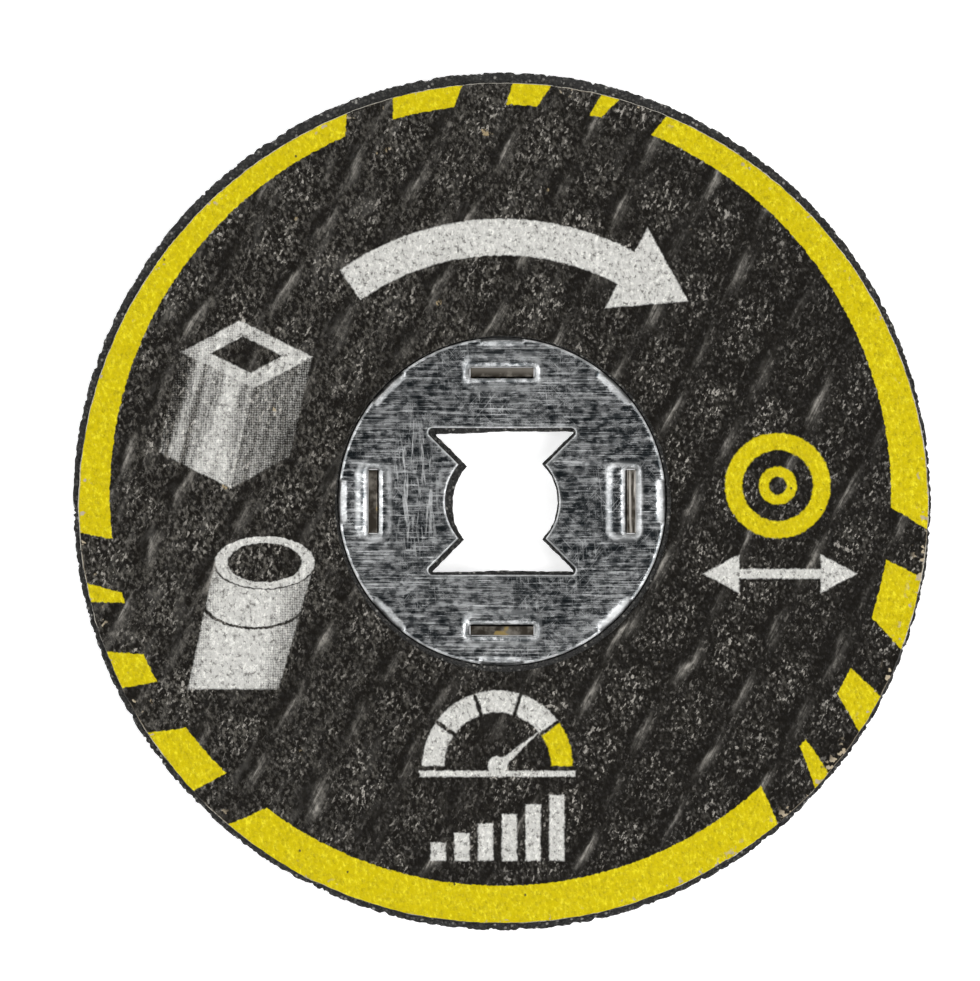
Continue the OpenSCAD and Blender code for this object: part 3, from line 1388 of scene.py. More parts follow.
@dataclass(frozen=True)
class HubSteel:
    """Finish of the stamped plates: bare steel with brush lines, scratches, dull blotches, and the rubbed
    edges and painted highlights that the front plate's points carry.
    """
    dull: Colour = (0.030, 0.039, 0.045, 1.0)
    clean: Colour = (0.66, 0.675, 0.685, 1.0)
    # Colour of the scratches and of the painted highlights
    scratch_and_highlight: Colour = (0.90, 0.91, 0.91, 1.0)
    crossing: tuple[tuple[float, float, float], ...] = (
        (0.9, 27.0, 0.63), (1.66, 30.0, 0.61), (2.3, 28.0, 0.64)
    )
    scraped_at: Point = (-3.9, 0.2)
    scraped_turns: Point = (1.5, 1.68)

    def build(self) -> bpy.types.Material:
        """Make the material.

        Returns:
            The material.
        """
        graph = Graph(bpy.data.materials.new("hub_steel"))
        place = graph.place()
        brushed = graph.cloud(graph.place((0.6, 19.0, 1.0), 0.012), 1.0, 4.0, 0.7).ramp(0.46, 0.72)
        hairs = graph.cloud(graph.place((0.22, 17.0, 1.0), -0.02), 1.0, 3.0, 0.66).ramp(0.54, 0.64)
        broad = graph.cloud(graph.place((0.3, 0.4, 1.0), -0.3), 1.0, 2.0, 0.5).ramp(0.34, 0.66)
        blotch = graph.cloud(graph.place((0.8, 1.2, 1.0)), 2.6, 4.0, 0.7).ramp(0.36, 0.64)
        tone = (blotch * 0.58 + broad * 0.18 + brushed * 0.3).ramp(0.12, 0.88)
        scuffs = (brushed * 0.3 + hairs * 0.7) * (broad * 0.4 + blotch * 0.3 + 0.3)
        handled = graph.cloud(place, 0.4, 2.0).ramp(0.44, 0.64)
        scratches = scuffs * 0.6
        for turn, stretch, level in self.crossing:
            streak = graph.cloud(graph.place((0.8, stretch, 1.0), turn), 1.0, 2.0, 0.55)
            scratches = scratches.most(streak.ramp(level, level + 0.08) * handled * 0.55)
        x, y, _ = graph.axes(place)
        scraped = Drawing(graph, x, y * 0.36).from_point(self.scraped_at).ramp(0.5, 1.6, 1.0, 0.0)
        for turn in self.scraped_turns:
            streak = graph.cloud(graph.place((0.7, 11.0, 1.0), turn), 1.0, 3.0, 0.62)
            scratches = scratches.most(streak.ramp(0.53, 0.64) * scraped * 0.75)
        # Rubbed edges, and painted highlights on the crimps, dish walls and lips, from the front plate's
        # points
        scratches = scratches.most(graph.painted("worn"))
        colour = graph.layered(self.dull, ((tone, self.clean), (scratches * 0.8, self.scratch_and_highlight)))
        relief = graph.bump(graph.cloud(place, 0.5, 1.0), 0.02, graph.bump(brushed, 0.003))
        roughness = scuffs.most(scratches) * 0.42 + 0.25
        return graph.surface(Base_Color=colour, Metallic=1.0, Roughness=roughness, Normal=relief)


@dataclass(frozen=True)
class StakedSteel:
    """Finish of the tabs' staked ends: dark brown steel with a few brassy specks."""

    dark: Colour = (0.035, 0.028, 0.020, 1.0)
    worn: Colour = (0.22, 0.20, 0.17, 1.0)
    rubbed: Colour = (0.62, 0.58, 0.52, 1.0)
    speck: Colour = (0.42, 0.30, 0.10, 1.0)
    pale_from: Point = (5.55, 5.85)
    rubbed_from: Point = (5.3, 5.4)

    def build(self) -> bpy.types.Material:
        """Make the material.

        Returns:
            The material.
        """
        graph = Graph(bpy.data.materials.new("staked_steel"))
        place = graph.place()
        blotch = graph.cloud(graph.place((1.6, 1.6, 1.6)), 1.0, 4.0, 0.65)
        across, up, _ = graph.axes(place)
        pale = up.ramp(*self.pale_from) * 0.8
        streaks = graph.cloud(graph.place((8.0, 0.3, 1.0)), 1.0, 2.0, 0.6).ramp(0.42, 0.58)
        colour = graph.mix(blotch.ramp(0.42, 0.68).most(pale), self.dark, self.worn)
        colour = graph.mix(across.ramp(*self.rubbed_from) * streaks, colour, self.rubbed)
        gold = graph.cloud(place, 1.1, 2.0).ramp(0.60, 0.66)
        colour = graph.mix(gold * 0.8, colour, self.speck)
        relief = graph.bump(blotch, 0.03)
        return graph.surface(Base_Color=colour, Metallic=0.7, Roughness=0.5, Normal=relief)


@dataclass
class PaperLabel:
    """Paper ring on the front face, which follows the grit and the glass mesh under it.

    edge_out says how far its edge lies outside the solid's, counter-clockwise from the right.
    """

    box: NodeBox
    hole_r: float
    steps: int = 720
    row: float = 0.125
    edge_w: float = 0.03
    edge_out: tuple[float, ...] = (
        0.165, 0.03, -0.03, -0.055, -0.065, -0.005, 0.12, 0.055, 0.025, -0.12, -0.045, 0.09
    )
    frayed_w: float = 0.3
    mesh: GlassMesh = GlassMesh()
    mesh_h: float = 0.03
    grit_h: float = 0.02

    def grit(self, x: float, y: float) -> float:
        """Fine unevenness of the paper over the grit."""
        return ripple(x, y, 2.9, 0.7) + 0.6 * ripple(x, y, 5.6, 2.3)

    def profile(self) -> list[Point]:
        """Section of the ring, closed, from the hole's upper edge over the rim to the rear.

        Returns:
            Points as radius and height.
        """
        outer, low, top = self.box.radius, self.box.low.z, self.box.high.z
        width = outer - self.edge_w - self.hole_r
        rows = math.ceil(width / self.row)
        points = [(self.hole_r + width * i / rows, top) for i in range(rows + 1)]
        return points + [(outer - 0.012, top - 0.035), (outer, low + 0.03), (outer, low), (self.hole_r, low)]

    def build(self, face: bpy.types.Material, edge: bpy.types.Material) -> bpy.types.Object:
        """Model the label and dress it.

        Args:
            face: Finish of the printed face.
            edge: Finish of the cut edge.

        Returns:
            The label's object.
        """
        outer, centre = self.box.radius, self.box.centre
        label = spun(self.profile(), centre, self.steps, closed=True)
        for polygon in label.faces:
            polygon.material_index = int(polygon.calc_center_median().z < self.box.high.z - WELD)
        frayed_r = outer - self.frayed_w
        inside_layer = label.verts.layers.float.new("inside")
        for vert in label.verts:
            x, y = vert.co.x, vert.co.y
            flat_r = math.hypot(x - centre.x, y - centre.y)
            near_edge = smoothstep(frayed_r, outer, flat_r)
            vert[inside_layer] = outer - flat_r
            if vert.co.z > self.box.low.z + 2 * FLUSH:
                lift = self.mesh_h * (self.mesh.lift(x, y) - 1) + self.grit_h * (self.grit(x, y) - 1)
                vert.co.z += lift * (1.0 - near_edge)
            if flat_r > frayed_r:
                fray = 0.03 * ripple(x, y, 1.6, 5.0) + 0.02 * ripple(x, y, 6.0, 1.0)
                pull = 1 + (fray + around(self.edge_out, x, y)) * near_edge / flat_r
                vert.co.x = centre.x + (x - centre.x) * pull
                vert.co.y = centre.y + (y - centre.y) * pull
        return finish_piece(label, "label_ring", (face, edge), Node.LABEL, Slot.PAPER, sharp=50)


@dataclass
class AbrasiveDisc:
    """Bonded disc with a gritty rim, a recess for each hub plate and a punched hole.

    ledge says how far the hole's wall stands in past the solid's, counter-clockwise from the right.
    """

    box: NodeBox
    hub: HubLayout
    recess_r: float
    recess_t: float = 0.25
    core_step: float = 0.16
    core_shift: float = 0.06
    core_rings: tuple[float, ...] = (0.0, 0.07, 0.15, 0.25, 0.4)
    core_spacing: float = 0.07
    core_pitch: float = 0.45
    core_rows: int = 5
    slot_spacing: float = 0.1
    ledge: tuple[float, ...] = (-0.05, -0.02, -0.02, 0.13, 0.12, -0.08, 0.02, -0.04)
    ledge_flat: float = 0.1
    ledge_w: float = 0.3
    steps: int = 1200
    face_rows: tuple[float, ...] = (9.0, 12.0, 15.0, 17.5, 18.2)
    rim_w: float = 0.7
    rough_w: float = 0.75
    hole_reach: float = 5.0
    rim_pitch: float = 0.09
    rim_rows: int = 7
    wall_inset: float = 0.07
    wall_rows: int = 11
    rear_inset: float = 0.08
    rear_rows: int = 42
    grain_pitch: float = 0.2
    grain_h: float = 0.2
    bond_h: float = 0.19
    face_grain_h: float = 0.06
    rear_grain_h: float = 0.05
    worn_edge_h: float = 0.10
    worn_edge_w: float = 0.2
    mesh: GlassMesh = GlassMesh()
    mesh_h: float = 0.05

    def grain(self, place: Vector) -> float:
        """Height of the grain at a place, from 0 in the bond to 1 on a grain's crest."""
        distances, points = noise.voronoi(place / self.grain_pitch)
        bulge = 1.0 - smoothstep(0.05, 0.75, distances[0])
        return bulge * (0.35 + 0.65 * noise.cell(points[0] * 7.3))

    def profile(self) -> list[Point]:
        """Half section from the front recess over the rim to the rear recess.

        Returns:
            Points as radius and height.
        """
        low, top, rim = self.box.low.z, self.box.high.z, self.box.radius
        inset, last = self.wall_inset, self.wall_rows - 1
        rear_r = rim - self.rear_inset
        points = [(self.recess_r, top - self.recess_t), (self.recess_r, top)]
        points += [(r, top) for r in self.face_rows]
        points += [(rim - self.rim_w + self.rim_pitch * i, top) for i in range(self.rim_rows)]
        points += [(rim, top - inset - (top - low - 2 * inset) * i / last) for i in range(last + 1)]
        rows = range(self.rear_rows + 1)
        points += [(rear_r - (rear_r - self.recess_r) * i / self.rear_rows, low) for i in rows]
        points.append((self.recess_r, low + self.recess_t))
        return points

    def core(self, level: float, far: float) -> bmesh.types.BMesh:
        """Thin middle of the disc under the plates, with the punched hole and the slots for the tabs.

        Args:
            level: Height of its upper face.
            far: Height of its lower face.

        Returns:
            The middle, open at its outer edge.
        """
        shift = Vector((self.core_shift, 0))
        hole = self.hub.hole
        rim = [polar(self.recess_r, TAU * i / self.steps) for i in range(self.steps)]
        rings = [Ring(rim, cut=True)]
        for grow in self.core_rings:
            path = [p + shift for p in hole.outline(grow - self.core_step, self.core_spacing)]
            rings.append(Ring(path, cut=grow == 0.0))
        slot = self.hub.slot.outline(0.0, self.slot_spacing)
        rings += [Ring(self.hub.placed(slot, turn), cut=True) for turn in self.hub.turns()]

        def solid(x: float, y: float) -> float:
            """How deep a point lies in the middle of the disc."""
            punched = hole.distance(x - self.core_shift, y, -self.core_step)
            return min(self.recess_r - math.hypot(x, y), punched, self.hub.slot_distance(x, y))

        sheet = Sheet(rings, solid, self.recess_r)
        core = sheet.face(self.core_pitch, self.core_pitch)
        for vert in core.verts:
            vert.co.z = level
        sheet.thicken(core, far, self.recess_r - 0.05, self.core_rows)
        return core

    def roughen_rim(self, vert: bmesh.types.BMVert, flat_r: float) -> None:
        """Chip the rim at one point and set the point among the grains.

        Args:
            vert: The point.
            flat_r: Its distance from the axis.
        """
        rim = self.box.radius
        x, y, z = vert.co
        bond = 1.0 - self.grain(vert.co)
        chip = 0.10 * max(ripple(x, y, 3.1, 0.3), 0.0) + 0.2 * max(ripple(x, y, 7.3, z), 0.0)
        outer = smoothstep(rim - self.worn_edge_w, rim - 0.02, flat_r)
        sink = (max(bond * self.grain_h - self.bond_h, 0.0) + chip) * outer
        vert.co.x *= (flat_r - sink) / flat_r
        vert.co.y *= (flat_r - sink) / flat_r
        if z > self.box.high.z - FLUSH:
            worn = self.worn_edge_h * smoothstep(rim - self.worn_edge_w, rim, flat_r)
            vert.co.z -= bond * self.face_grain_h + worn
        if z < self.box.low.z + FLUSH:
            vert.co.z += bond * self.face_grain_h

    def roughen_hole(self, vert: bmesh.types.BMVert) -> None:
        """Move one point near the punched hole onto its uneven ledge.

        Args:
            vert: The point.
        """
        place = vert.co.copy()
        local = place - Vector((self.core_shift, 0, 0))
        off = abs(self.hub.hole.distance(local.x, local.y, -self.core_step))
        if off < self.ledge_w:
            inwards = -local.xy.normalized() * around(self.ledge, local.x, local.y)
            vert.co += inwards.to_3d() * (1.0 - smoothstep(self.ledge_flat, self.ledge_w, off))
            across, up = (noise.noise(place * 4.0 + Vector(seed)) for seed in ((0, 0, 0), (9, 3, 1)))
            vert.co += Vector((across, up, 0)) * 0.045 * (1.0 - smoothstep(0.0, self.ledge_w, off))

    def roughen(self, disc: bmesh.types.BMesh) -> None:
        """Push the grains out of the rim, the rear face and the hole's wall.

        Args:
            disc: The joined disc.
        """
        for vert in disc.verts:
            x, y, z = vert.co
            flat_r = math.hypot(x, y)
            if flat_r > self.box.radius - self.rough_w:
                self.roughen_rim(vert, flat_r)
            elif z < self.box.low.z + FLUSH and flat_r > self.recess_r + 2 * FLUSH:
                vert.co.z += (1.0 - self.grain(Vector((x, y, z)))) * self.rear_grain_h
                vert.co.z += self.mesh_h * (1.0 - self.mesh.lift(x, y))
            elif flat_r < self.hole_reach:
                self.roughen_hole(vert)

    def build(self, finish: bpy.types.Material) -> bpy.types.Object:
        """Model the disc and dress it.

        Args:
            finish: The abrasive's material.

        Returns:
            The disc's object.
        """
        low, top = self.box.low.z, self.box.high.z
        disc = spun(self.profile(), Vector((0, 0)), self.steps, closed=False)
        absorb(disc, self.core(top - self.recess_t, low + self.recess_t))
        bmesh.ops.remove_doubles(disc, verts=disc.verts, dist=2 * WELD)
        self.roughen(disc)
        return finish_piece(disc, "grit_disc", (finish,), Node.DISC, Slot.GRIT, sharp=30)


@dataclass
class HubPlate:
    """What the two stamped plates of the hub share.

    slope holds points of a sloping edge: shares of its width, and drops as shares of that width.
    rounding holds shares of a rounded edge's radius.
    """

    box: NodeBox
    hub: HubLayout
    spacing: float = 0.07
    pitch: float = 0.11
    margin: float = 0.145
    edge: float = 0.08
    slope: tuple[Point, ...] = ((0.0, 0.62), (0.1, 0.46), (0.5, 0.24), (0.85, 0.05), (1.0, 0.0))
    rounding: tuple[float, ...] = (0.0, 0.12, 0.35, 0.65, 1.0)

    def chamfered(self, outline: Callable[[float, float], list[Vector]], width: float) -> list[Ring]:
        """Rings that slope down to one cut edge of the plate.

        Args:
            outline: Makes the edge's outline moved into the sheet.
            width: Width of the slope.

        Returns:
            The rings from the edge inwards.
        """
        rings: list[Ring] = []
        for share, drop in self.slope:
            rings.append(Ring(outline(share * width, self.spacing), drop * width, cut=share == 0.0))
        return rings

    def rounded(self, outline: Callable[[float, float], list[Vector]]) -> list[Ring]:
        """Rings that round over one cut edge of the plate.

        Args:
            outline: Makes the edge's outline moved into the sheet.

        Returns:
            The rings from the edge inwards.
        """
        rings: list[Ring] = []
        for share in self.rounding:
            drop = self.edge * (1 - math.sqrt(max(0.0, 1 - (1 - share) ** 2)))
            rings.append(Ring(outline(share * self.edge, self.spacing), drop, cut=share == 0.0))
        return rings


@dataclass
class FrontHubPlate(HubPlate):
    """Front plate, with a dish pressed round each slot and its rim crimped down at eight places.

    The highlight values say how bright a highlight is painted on each crimp, dish wall and lip,
    counter-clockwise from the right. A lip has one for its outer side, one for its inner side and one for
    its ends.
    """

    rim: float = 0.13
    lip: float = 0.21
    lip_in: float = 0.04
    # Width of the bright band along every edge: rubbed steel with a painted highlight
    rubbed_edge_and_highlight_w: float = 0.11
    crimp_highlights: tuple[float, ...] = (0.8, 0.85, 0.3, 0.75, 0.8, 0.75, 0.35, 1.0)
    dish_highlights: tuple[float, ...] = (0.9, 0.6, 0.8, 0.5)
    lip_highlights: tuple[tuple[float, float, float], ...] = (
        (1.0, 1.0, 0.8), (0.25, 0.3, 1.0), (0.7, 1.0, 0.7), (0.3, 0.45, 1.0)
    )
    dish_t: float = 0.085
    dish_half_w: float = 0.88
    dish_half_l: float = 1.82
    dish_corner_r: float = 0.6
    dish_wall: float = 0.42
    dish_offsets: tuple[float, ...] = (-0.28, 0.0, -0.02, -0.08)
    crimp_count: int = 8
    crimp_l: float = 1.9
    crimp_w: float = 0.40
    crimp_angle: float = math.radians(30)

    def at_dishes(self, x: float, y: float) -> list[tuple[float, float, float]]:
        """Find a place in relation to each slot.

        Args:
            x: Place across the plate.
            y: Place up the plate.

        Returns:
            For each slot, how deep the place lies in its dish, how far outwards from its tab, and along it.
        """
        dish = RoundedBox(self.dish_half_w, self.dish_half_l, self.dish_corner_r)
        places: list[tuple[float, float, float]] = []
        for turn, offset in zip(self.hub.turns(), self.dish_offsets):
            outwards, along = self.hub.at_tab(x, y, turn)
            places.append((-dish.distance(outwards - offset, along), outwards, along))
        return places

    def at_crimps(self, x: float, y: float) -> list[Point]:
        """Place as each crimp sees it: outwards from its inner edge, then along it."""
        turns = (i * TAU / self.crimp_count for i in range(self.crimp_count))
        return [seen_from(turn, self.box.radius - self.crimp_w, x, y) for turn in turns]

    def pressed(self, x: float, y: float) -> float:
        """How far the face is pressed down at a place.

        Args:
            x: Place across the plate.
            y: Place up the plate.

        Returns:
            The depth.
        """
        depth = 0.0
        for inside, _, _ in self.at_dishes(x, y):
            depth = max(depth, self.dish_t * smoothstep(0.0, self.dish_wall, inside))
        for outwards, along in self.at_crimps(x, y):
            if outwards > 0:
                ends = 1.0 - smoothstep(self.crimp_l / 2 - 0.12, self.crimp_l / 2 + 0.06, abs(along))
                depth = max(depth, outwards * math.tan(self.crimp_angle) * ends)
        return depth

    def worn(self, x: float, y: float) -> float:
        """How bright the steel is at a place: rubbed and with a painted highlight along every edge, and with
        painted highlights on the crimps, the dish walls and the slot lips.

        Args:
            x: Place across the plate.
            y: Place up the plate.

        Returns:
            From 0 to 1.
        """
        from_edge = min(self.box.radius - math.hypot(x, y), self.hub.hole.distance(x, y))
        # Rubbed steel with a painted highlight along every edge
        rubbed = 0.8 * (1.0 - smoothstep(0.3 * self.rubbed_edge_and_highlight_w, self.rubbed_edge_and_highlight_w, from_edge))
        patchy = 0.7 + 0.6 * ripple(x, y, 1.1, 6.1)
        # Painted highlights on the dish walls and on the slot lips
        for place, share, lips in zip(self.at_dishes(x, y), self.dish_highlights, self.lip_highlights):
            inside, outwards, along = place
            wall = smoothstep(0.0, 0.12, inside) * (1.0 - smoothstep(0.16, self.dish_wall, inside))
            from_slot = self.hub.slot.distance(outwards, along) + self.lip_in
            lip = 1.0 - smoothstep(0.5 * self.lip, 0.95 * self.lip, from_slot)
            at_end = smoothstep(-0.2, 0.1, abs(along) - self.hub.tab_half_w)
            lip *= lips[2] * at_end + lips[outwards < 0] * (1.0 - at_end)
            rubbed = max(rubbed, share * patchy * wall, patchy * lip)
        # Painted highlights on the crimps
        for (outwards, along), share in zip(self.at_crimps(x, y), self.crimp_highlights):
            if outwards > 0 and abs(along) < self.crimp_l / 2:
                rubbed = max(rubbed, share * smoothstep(0.0, 0.1, outwards))
        return rubbed * (0.75 + 0.5 * ripple(x, y, 1.3, 2.2))

    def build(self, finish: bpy.types.Material) -> bpy.types.Object:
        """Model the plate and dress it.

        Args:
            finish: The steel's material.

        Returns:
            The plate's object.
        """
        radius = self.box.radius
        face_z, far_z = self.box.high.z, self.box.low.z
        hole, slot = self.hub.hole, self.hub.slot
        rings = self.chamfered(lambda d, s: arc(Vector((0, 0)), radius - d, 0, TAU, s)[:-1], self.rim)
        rings += self.rounded(hole.outline)
        lip = self.chamfered(lambda d, s: slot.outline(d - self.lip_in, s), self.lip)
        for turn in self.hub.turns():
            rings += [Ring(self.hub.placed(ring.path, turn), ring.drop, ring.cut) for ring in lip]

        def solid(x: float, y: float) -> float:
            """How deep a point lies in the plate."""
            slots = (self.hub.slot_distance(x, y) + self.lip_in) * self.rim / self.lip
            return min(radius - math.hypot(x, y), hole.distance(x, y), slots)

        sheet = Sheet(rings, solid, radius)
        plate = sheet.face(self.pitch, self.margin)
        # Each point carries its rubbed edge and its painted highlights
        worn_and_highlight_layer = plate.verts.layers.float.new("worn")
        for vert in plate.verts:
            x, y = vert.co.x, vert.co.y
            vert[worn_and_highlight_layer] = self.worn(x, y)
            vert.co.z += face_z - self.pressed(x, y)
        sheet.thicken(plate, far_z, radius + 1)
        return finish_piece(plate, "front_plate", (finish,), Node.FRONT_PLATE, Slot.STEEL, sharp=40)


@dataclass
class RearHubPlate(HubPlate):
    """Rear plate, with four tabs lanced from its rim and bent up through the disc."""

    pitch: float = 0.3
    margin: float = 0.2
    relief: float = 0.12
    bend_steps: int = 8
    bend_r: float = 0.02
    tab_root: float = 0.06
    tip_bevel: float = 0.05

    def outline(self, inset: float, spacing: float) -> list[Vector]:
        """Outline of the plate with the four notches that the tabs leave.

        Args:
            inset: How far the outline is moved into the sheet.
            spacing: Widest distance between two points.

        Returns:
            Points all the way round, counter-clockwise.
        """
        radius = self.box_r - inset
        half = self.hub.tab_half_w + self.relief + inset
        bottom = self.hub.tab_x - self.hub.sheet_t / 2 - inset
        lip = math.asin(half / radius)
        path: list[Vector] = []
        for turn in self.hub.turns():
            spin = Matrix.Rotation(turn, 2)
            notch = [polar(radius, -lip), Vector((bottom, -half))]
            notch += [Vector((bottom, half)), polar(radius, lip)]
            path += [spin @ p for p in notch]
            path += arc(Vector((0, 0)), radius, turn + lip, turn + math.pi / 2 - lip, spacing)
        return closed_path(path, spacing)

    @property
    def box_r(self) -> float:
        """Radius of the round blank, found from the notched plate's box."""
        half = self.hub.tab_half_w + self.relief
        return math.hypot(self.box.radius, half)

    def solid(self, x: float, y: float) -> float:
        """How deep a point lies in the plate."""
        depth = min(self.box_r - math.hypot(x, y), self.hub.hole.distance(x, y))
        half = self.hub.tab_half_w + self.relief
        for turn in self.hub.turns():
            outwards, along = self.hub.at_tab(x, y, turn)
            outside = max(-(outwards + self.hub.sheet_t / 2), abs(along) - half)
            depth = min(depth, outside)
        return depth

    def add_tab(self, plate: bmesh.types.BMesh, turn: float) -> None:
        """Bend one tab up from the plate.

        Args:
            plate: The plate, with its outer face down at height 0.
            turn: Angle of the tab about the axis.
        """
        sheet_t = self.hub.sheet_t
        root = self.hub.tab_x - sheet_t / 2
        tab = bmesh.new()
        bmesh.ops.create_grid(tab, x_segments=1, y_segments=1, size=0.5)
        bmesh.ops.rotate(tab, verts=tab.verts, cent=(0, 0, 0), matrix=Matrix.Rotation(math.pi / 2, 3, "Y"))
        bmesh.ops.scale(tab, vec=(1, 2 * self.hub.tab_half_w, sheet_t), verts=tab.verts)
        bmesh.ops.translate(tab, vec=(root - self.tab_root, 0, sheet_t / 2), verts=tab.verts)
        made = bmesh.ops.extrude_face_region(tab, geom=list(tab.faces))["geom"]
        bmesh.ops.translate(tab, vec=(self.tab_root, 0, 0), verts=only(made, bmesh.types.BMVert))
        face = only(made, bmesh.types.BMFace)
        last = bmesh.ops.spin(
            tab,
            geom=face,
            cent=(root, 0, sheet_t + self.bend_r),
            axis=(0, -1, 0),
            angle=math.pi / 2,
            steps=self.bend_steps,
        )["geom_last"]
        bmesh.ops.delete(tab, geom=face, context="FACES")
        end = only(last, bmesh.types.BMFace)
        made = bmesh.ops.extrude_face_region(tab, geom=end)["geom"]
        bmesh.ops.delete(tab, geom=end, context="FACES")
        for vert in only(made, bmesh.types.BMVert):
            vert.co.z = self.box.high.z
        bmesh.ops.recalc_face_normals(tab, faces=tab.faces)
        bmesh.ops.bevel(
            tab,
            geom=[e for f in only(made, bmesh.types.BMFace) for e in f.edges],
            offset=self.tip_bevel,
            offset_type="OFFSET",
            segments=3,
            profile=0.5,
            affect="EDGES",
            material=-1,
        )
        for polygon in tab.faces:
            polygon.material_index = int(polygon.calc_center_median().z > sheet_t)
        bmesh.ops.rotate(tab, verts=tab.verts, cent=(0, 0, 0), matrix=Matrix.Rotation(turn, 3, "Z"))
        absorb(plate, tab)

    def build(self, finish: bpy.types.Material, staked: bpy.types.Material) -> bpy.types.Object:
        """Model the plate with its tabs and dress it.

        Args:
            finish: The steel's material.
            staked: Finish of the tabs' ends.

        Returns:
            The plate's object.
        """
        rings = self.rounded(self.outline) + self.rounded(self.hub.hole.outline)
        sheet = Sheet(rings, self.solid, self.box_r)
        plate = sheet.face(self.pitch, self.margin)
        sheet.thicken(plate, -self.hub.sheet_t, self.box_r + 1)
        bmesh.ops.scale(plate, vec=(1, 1, -1), verts=plate.verts)
        bmesh.ops.recalc_face_normals(plate, faces=plate.faces)
        for turn in self.hub.turns():
            self.add_tab(plate, turn)
        return finish_piece(plate, "rear_plate", (finish, staked), Node.REAR_PLATE, Slot.STEEL, sharp=40)


@dataclass(frozen=True)
class Softbox:
    """One soft studio lamp that looks at the wheel."""

    name: str
    place: tuple[float, float, float]
    width: float
    height: float
    power: float

    def build(self) -> None:
        """Hang the lamp."""
        lamp = bpy.data.lights.new(self.name, "AREA")
        lamp.shape = "RECTANGLE"
        lamp.size = self.width
        lamp.size_y = self.height
        lamp.energy = self.power
        holder = bpy.data.objects.new(self.name, lamp)
        holder.location = self.place
        holder.rotation_euler = (-Vector(self.place)).to_track_quat("-Z", "Y").to_euler()
        bpy.context.scene.collection.objects.link(holder)


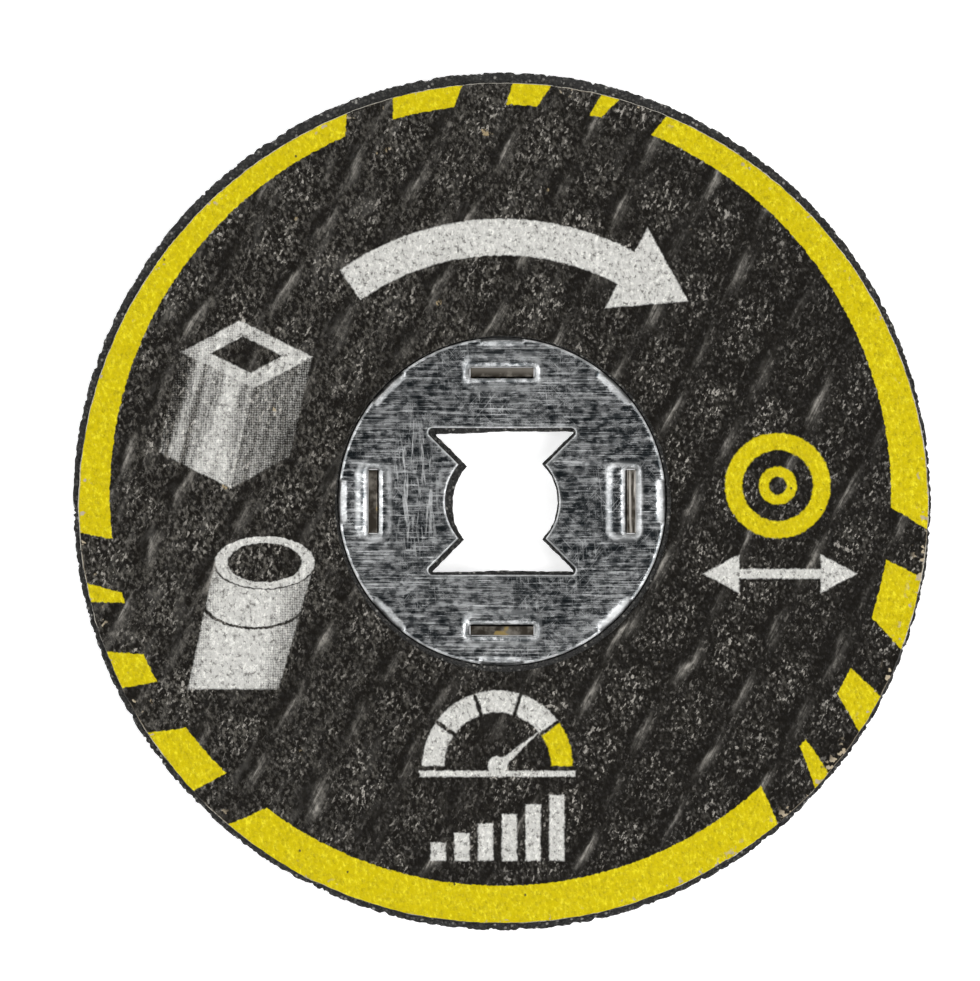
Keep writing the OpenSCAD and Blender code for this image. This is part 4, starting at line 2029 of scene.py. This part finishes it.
@dataclass(frozen=True)
class Studio:
    """Pale floor, soft lamps and a camera that looks straight down."""

    frame_px: Point = (980, 981)
    wheel_px: Point = (502.05, 501.46)
    wheel_width_px: float = 858.8
    camera_h: float = 0.5
    sensor_mm: float = 36.0
    floor_half: float = 1.5
    floor_z: float = -0.02 * MM
    floor_colour: Colour = (0.86, 0.86, 0.86, 1.0)
    floor_glow: float = 0.6
    world_level: float = 0.20
    horizon: Point = (0.06, 0.12)
    lamps: tuple[Softbox, ...] = (
        Softbox("key_right", (0.220, -0.031, 0.230), 0.13, 0.20, 0.50),
        Softbox("low_right_front", (0.186, -0.186, 0.164), 0.11, 0.11, 0.17),
        Softbox("low_right_back", (0.195, 0.176, 0.164), 0.11, 0.11, 0.13),
        Softbox("low_left", (-0.263, 0.0, 0.164), 0.13, 0.11, 0.32),
        Softbox("low_left_front", (-0.186, -0.186, 0.164), 0.08, 0.08, 0.05),
        Softbox("low_left_back", (-0.186, 0.186, 0.164), 0.08, 0.08, 0.08),
        Softbox("fill_back", (-0.023, 0.262, 0.164), 0.15, 0.15, 0.11),
        Softbox("fill_front", (-0.023, -0.262, 0.164), 0.13, 0.13, 0.14),
    )

    def floor_finish(self) -> bpy.types.Material:
        """Make the floor white to the camera, with the wheel's shadow still on it.

        Returns:
            The material.
        """
        graph = Graph(bpy.data.materials.new("pale_floor"))
        path = graph.node("ShaderNodeLightPath")
        rays = ("Is Camera Ray", "Is Glossy Ray", "Is Transmission Ray")
        seen = reduce(Signal.most, [Signal(graph, path.outputs[ray]) for ray in rays])
        matte = graph.fill(graph.node("ShaderNodeBsdfDiffuse"), Color=self.floor_colour)
        glow = graph.fill(graph.node("ShaderNodeEmission"), Color=WHITE, Strength=seen * self.floor_glow)
        both = graph.node("ShaderNodeAddShader")
        for target, shader in zip(both.inputs, (matte, glow)):
            graph.tree.links.new(shader.outputs[0], target)
        graph.close(both)
        return graph.owner

    def floor(self) -> None:
        """Lay the floor just under the wheel."""
        data = bpy.data.meshes.new("floor")
        sheet = bmesh.new()
        bmesh.ops.create_grid(sheet, x_segments=1, y_segments=1, size=self.floor_half)
        bmesh.ops.translate(sheet, vec=(0, 0, self.floor_z), verts=sheet.verts)
        sheet.to_mesh(data)
        sheet.free()
        data.materials.append(self.floor_finish())
        floor = bpy.data.objects.new("floor", data)
        bpy.context.scene.collection.objects.link(floor)
        floor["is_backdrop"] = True

    def world(self) -> None:
        """Fill the room with even light over a thin white horizon."""
        graph = Graph(bpy.data.worlds.new("studio"))
        direction = Signal(graph, graph.node("ShaderNodeTexCoord").outputs["Generated"])
        _, _, height = graph.axes(direction)
        level = height.ramp(*self.horizon, 1.0, self.world_level, eased=False)
        glow = graph.fill(graph.node("ShaderNodeBackground"), Color=WHITE, Strength=level)
        graph.close(glow, "ShaderNodeOutputWorld")
        bpy.context.scene.world = graph.owner

    def camera(self, wheel_w: float, face_z: float) -> None:
        """Set the camera over the wheel so that it fills the frame as in the photograph.

        Args:
            wheel_w: The wheel's diameter in metres.
            face_z: Height of its front face in metres.
        """
        per_px = wheel_w / self.wheel_width_px
        data = bpy.data.cameras.new("camera")
        data.sensor_fit = "HORIZONTAL"
        data.sensor_width = self.sensor_mm
        data.lens = self.sensor_mm * self.camera_h / (per_px * self.frame_px[0])
        camera = bpy.data.objects.new("camera", data)
        right = (self.frame_px[0] / 2 - self.wheel_px[0]) * per_px
        up = (self.wheel_px[1] - self.frame_px[1] / 2) * per_px
        camera.location = (right, up, face_z + self.camera_h)
        bpy.context.scene.collection.objects.link(camera)
        bpy.context.scene.camera = camera

    def build(self, wheel_w: float, face_z: float) -> None:
        """Set up the whole studio.

        Args:
            wheel_w: The wheel's diameter in metres.
            face_z: Height of its front face in metres.
        """
        self.camera(wheel_w, face_z)
        self.floor()
        self.world()
        for lamp in self.lamps:
            lamp.build()
        bpy.context.scene.view_settings.view_transform = "Standard"


@dataclass(frozen=True)
class CutOffWheel:
    """The whole wheel, built from its disc outwards."""

    hub: HubLayout = HubLayout()
    recess_gap: float = 0.06
    label_gap: float = 0.02

    def build(self) -> list[bpy.types.Object]:
        """Model and dress every piece.

        Returns:
            The pieces.
        """
        disc_box = NodeBox.of(Node.DISC)
        label_box = NodeBox.of(Node.LABEL)
        front_box = NodeBox.of(Node.FRONT_PLATE)
        rear_box = NodeBox.of(Node.REAR_PLATE)
        recess_r = front_box.radius + self.recess_gap
        label_shift = math.hypot(label_box.centre.x, label_box.centre.y)
        label_hole_r = recess_r + self.label_gap + label_shift
        steel = HubSteel().build()
        pieces = [AbrasiveDisc(disc_box, self.hub, recess_r).build(BondedGrit().build())]
        label = PaperLabel(label_box, label_hole_r)
        pieces.append(label.build(PrintedPaper().build(), PaperEdge().build()))
        pieces.append(FrontHubPlate(front_box, self.hub).build(steel))
        pieces.append(RearHubPlate(rear_box, self.hub).build(steel, StakedSteel().build()))
        return pieces


def main() -> None:
    """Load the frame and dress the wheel."""
    logging.basicConfig(level=logging.INFO, format="%(name)s: %(message)s")
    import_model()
    solid_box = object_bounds()
    low, high = solid_box
    Studio().build(high.x - low.x, high.z)
    for piece in CutOffWheel().build():
        LOG.info("built %s", piece.name)


if __name__ == "__main__":
    main()
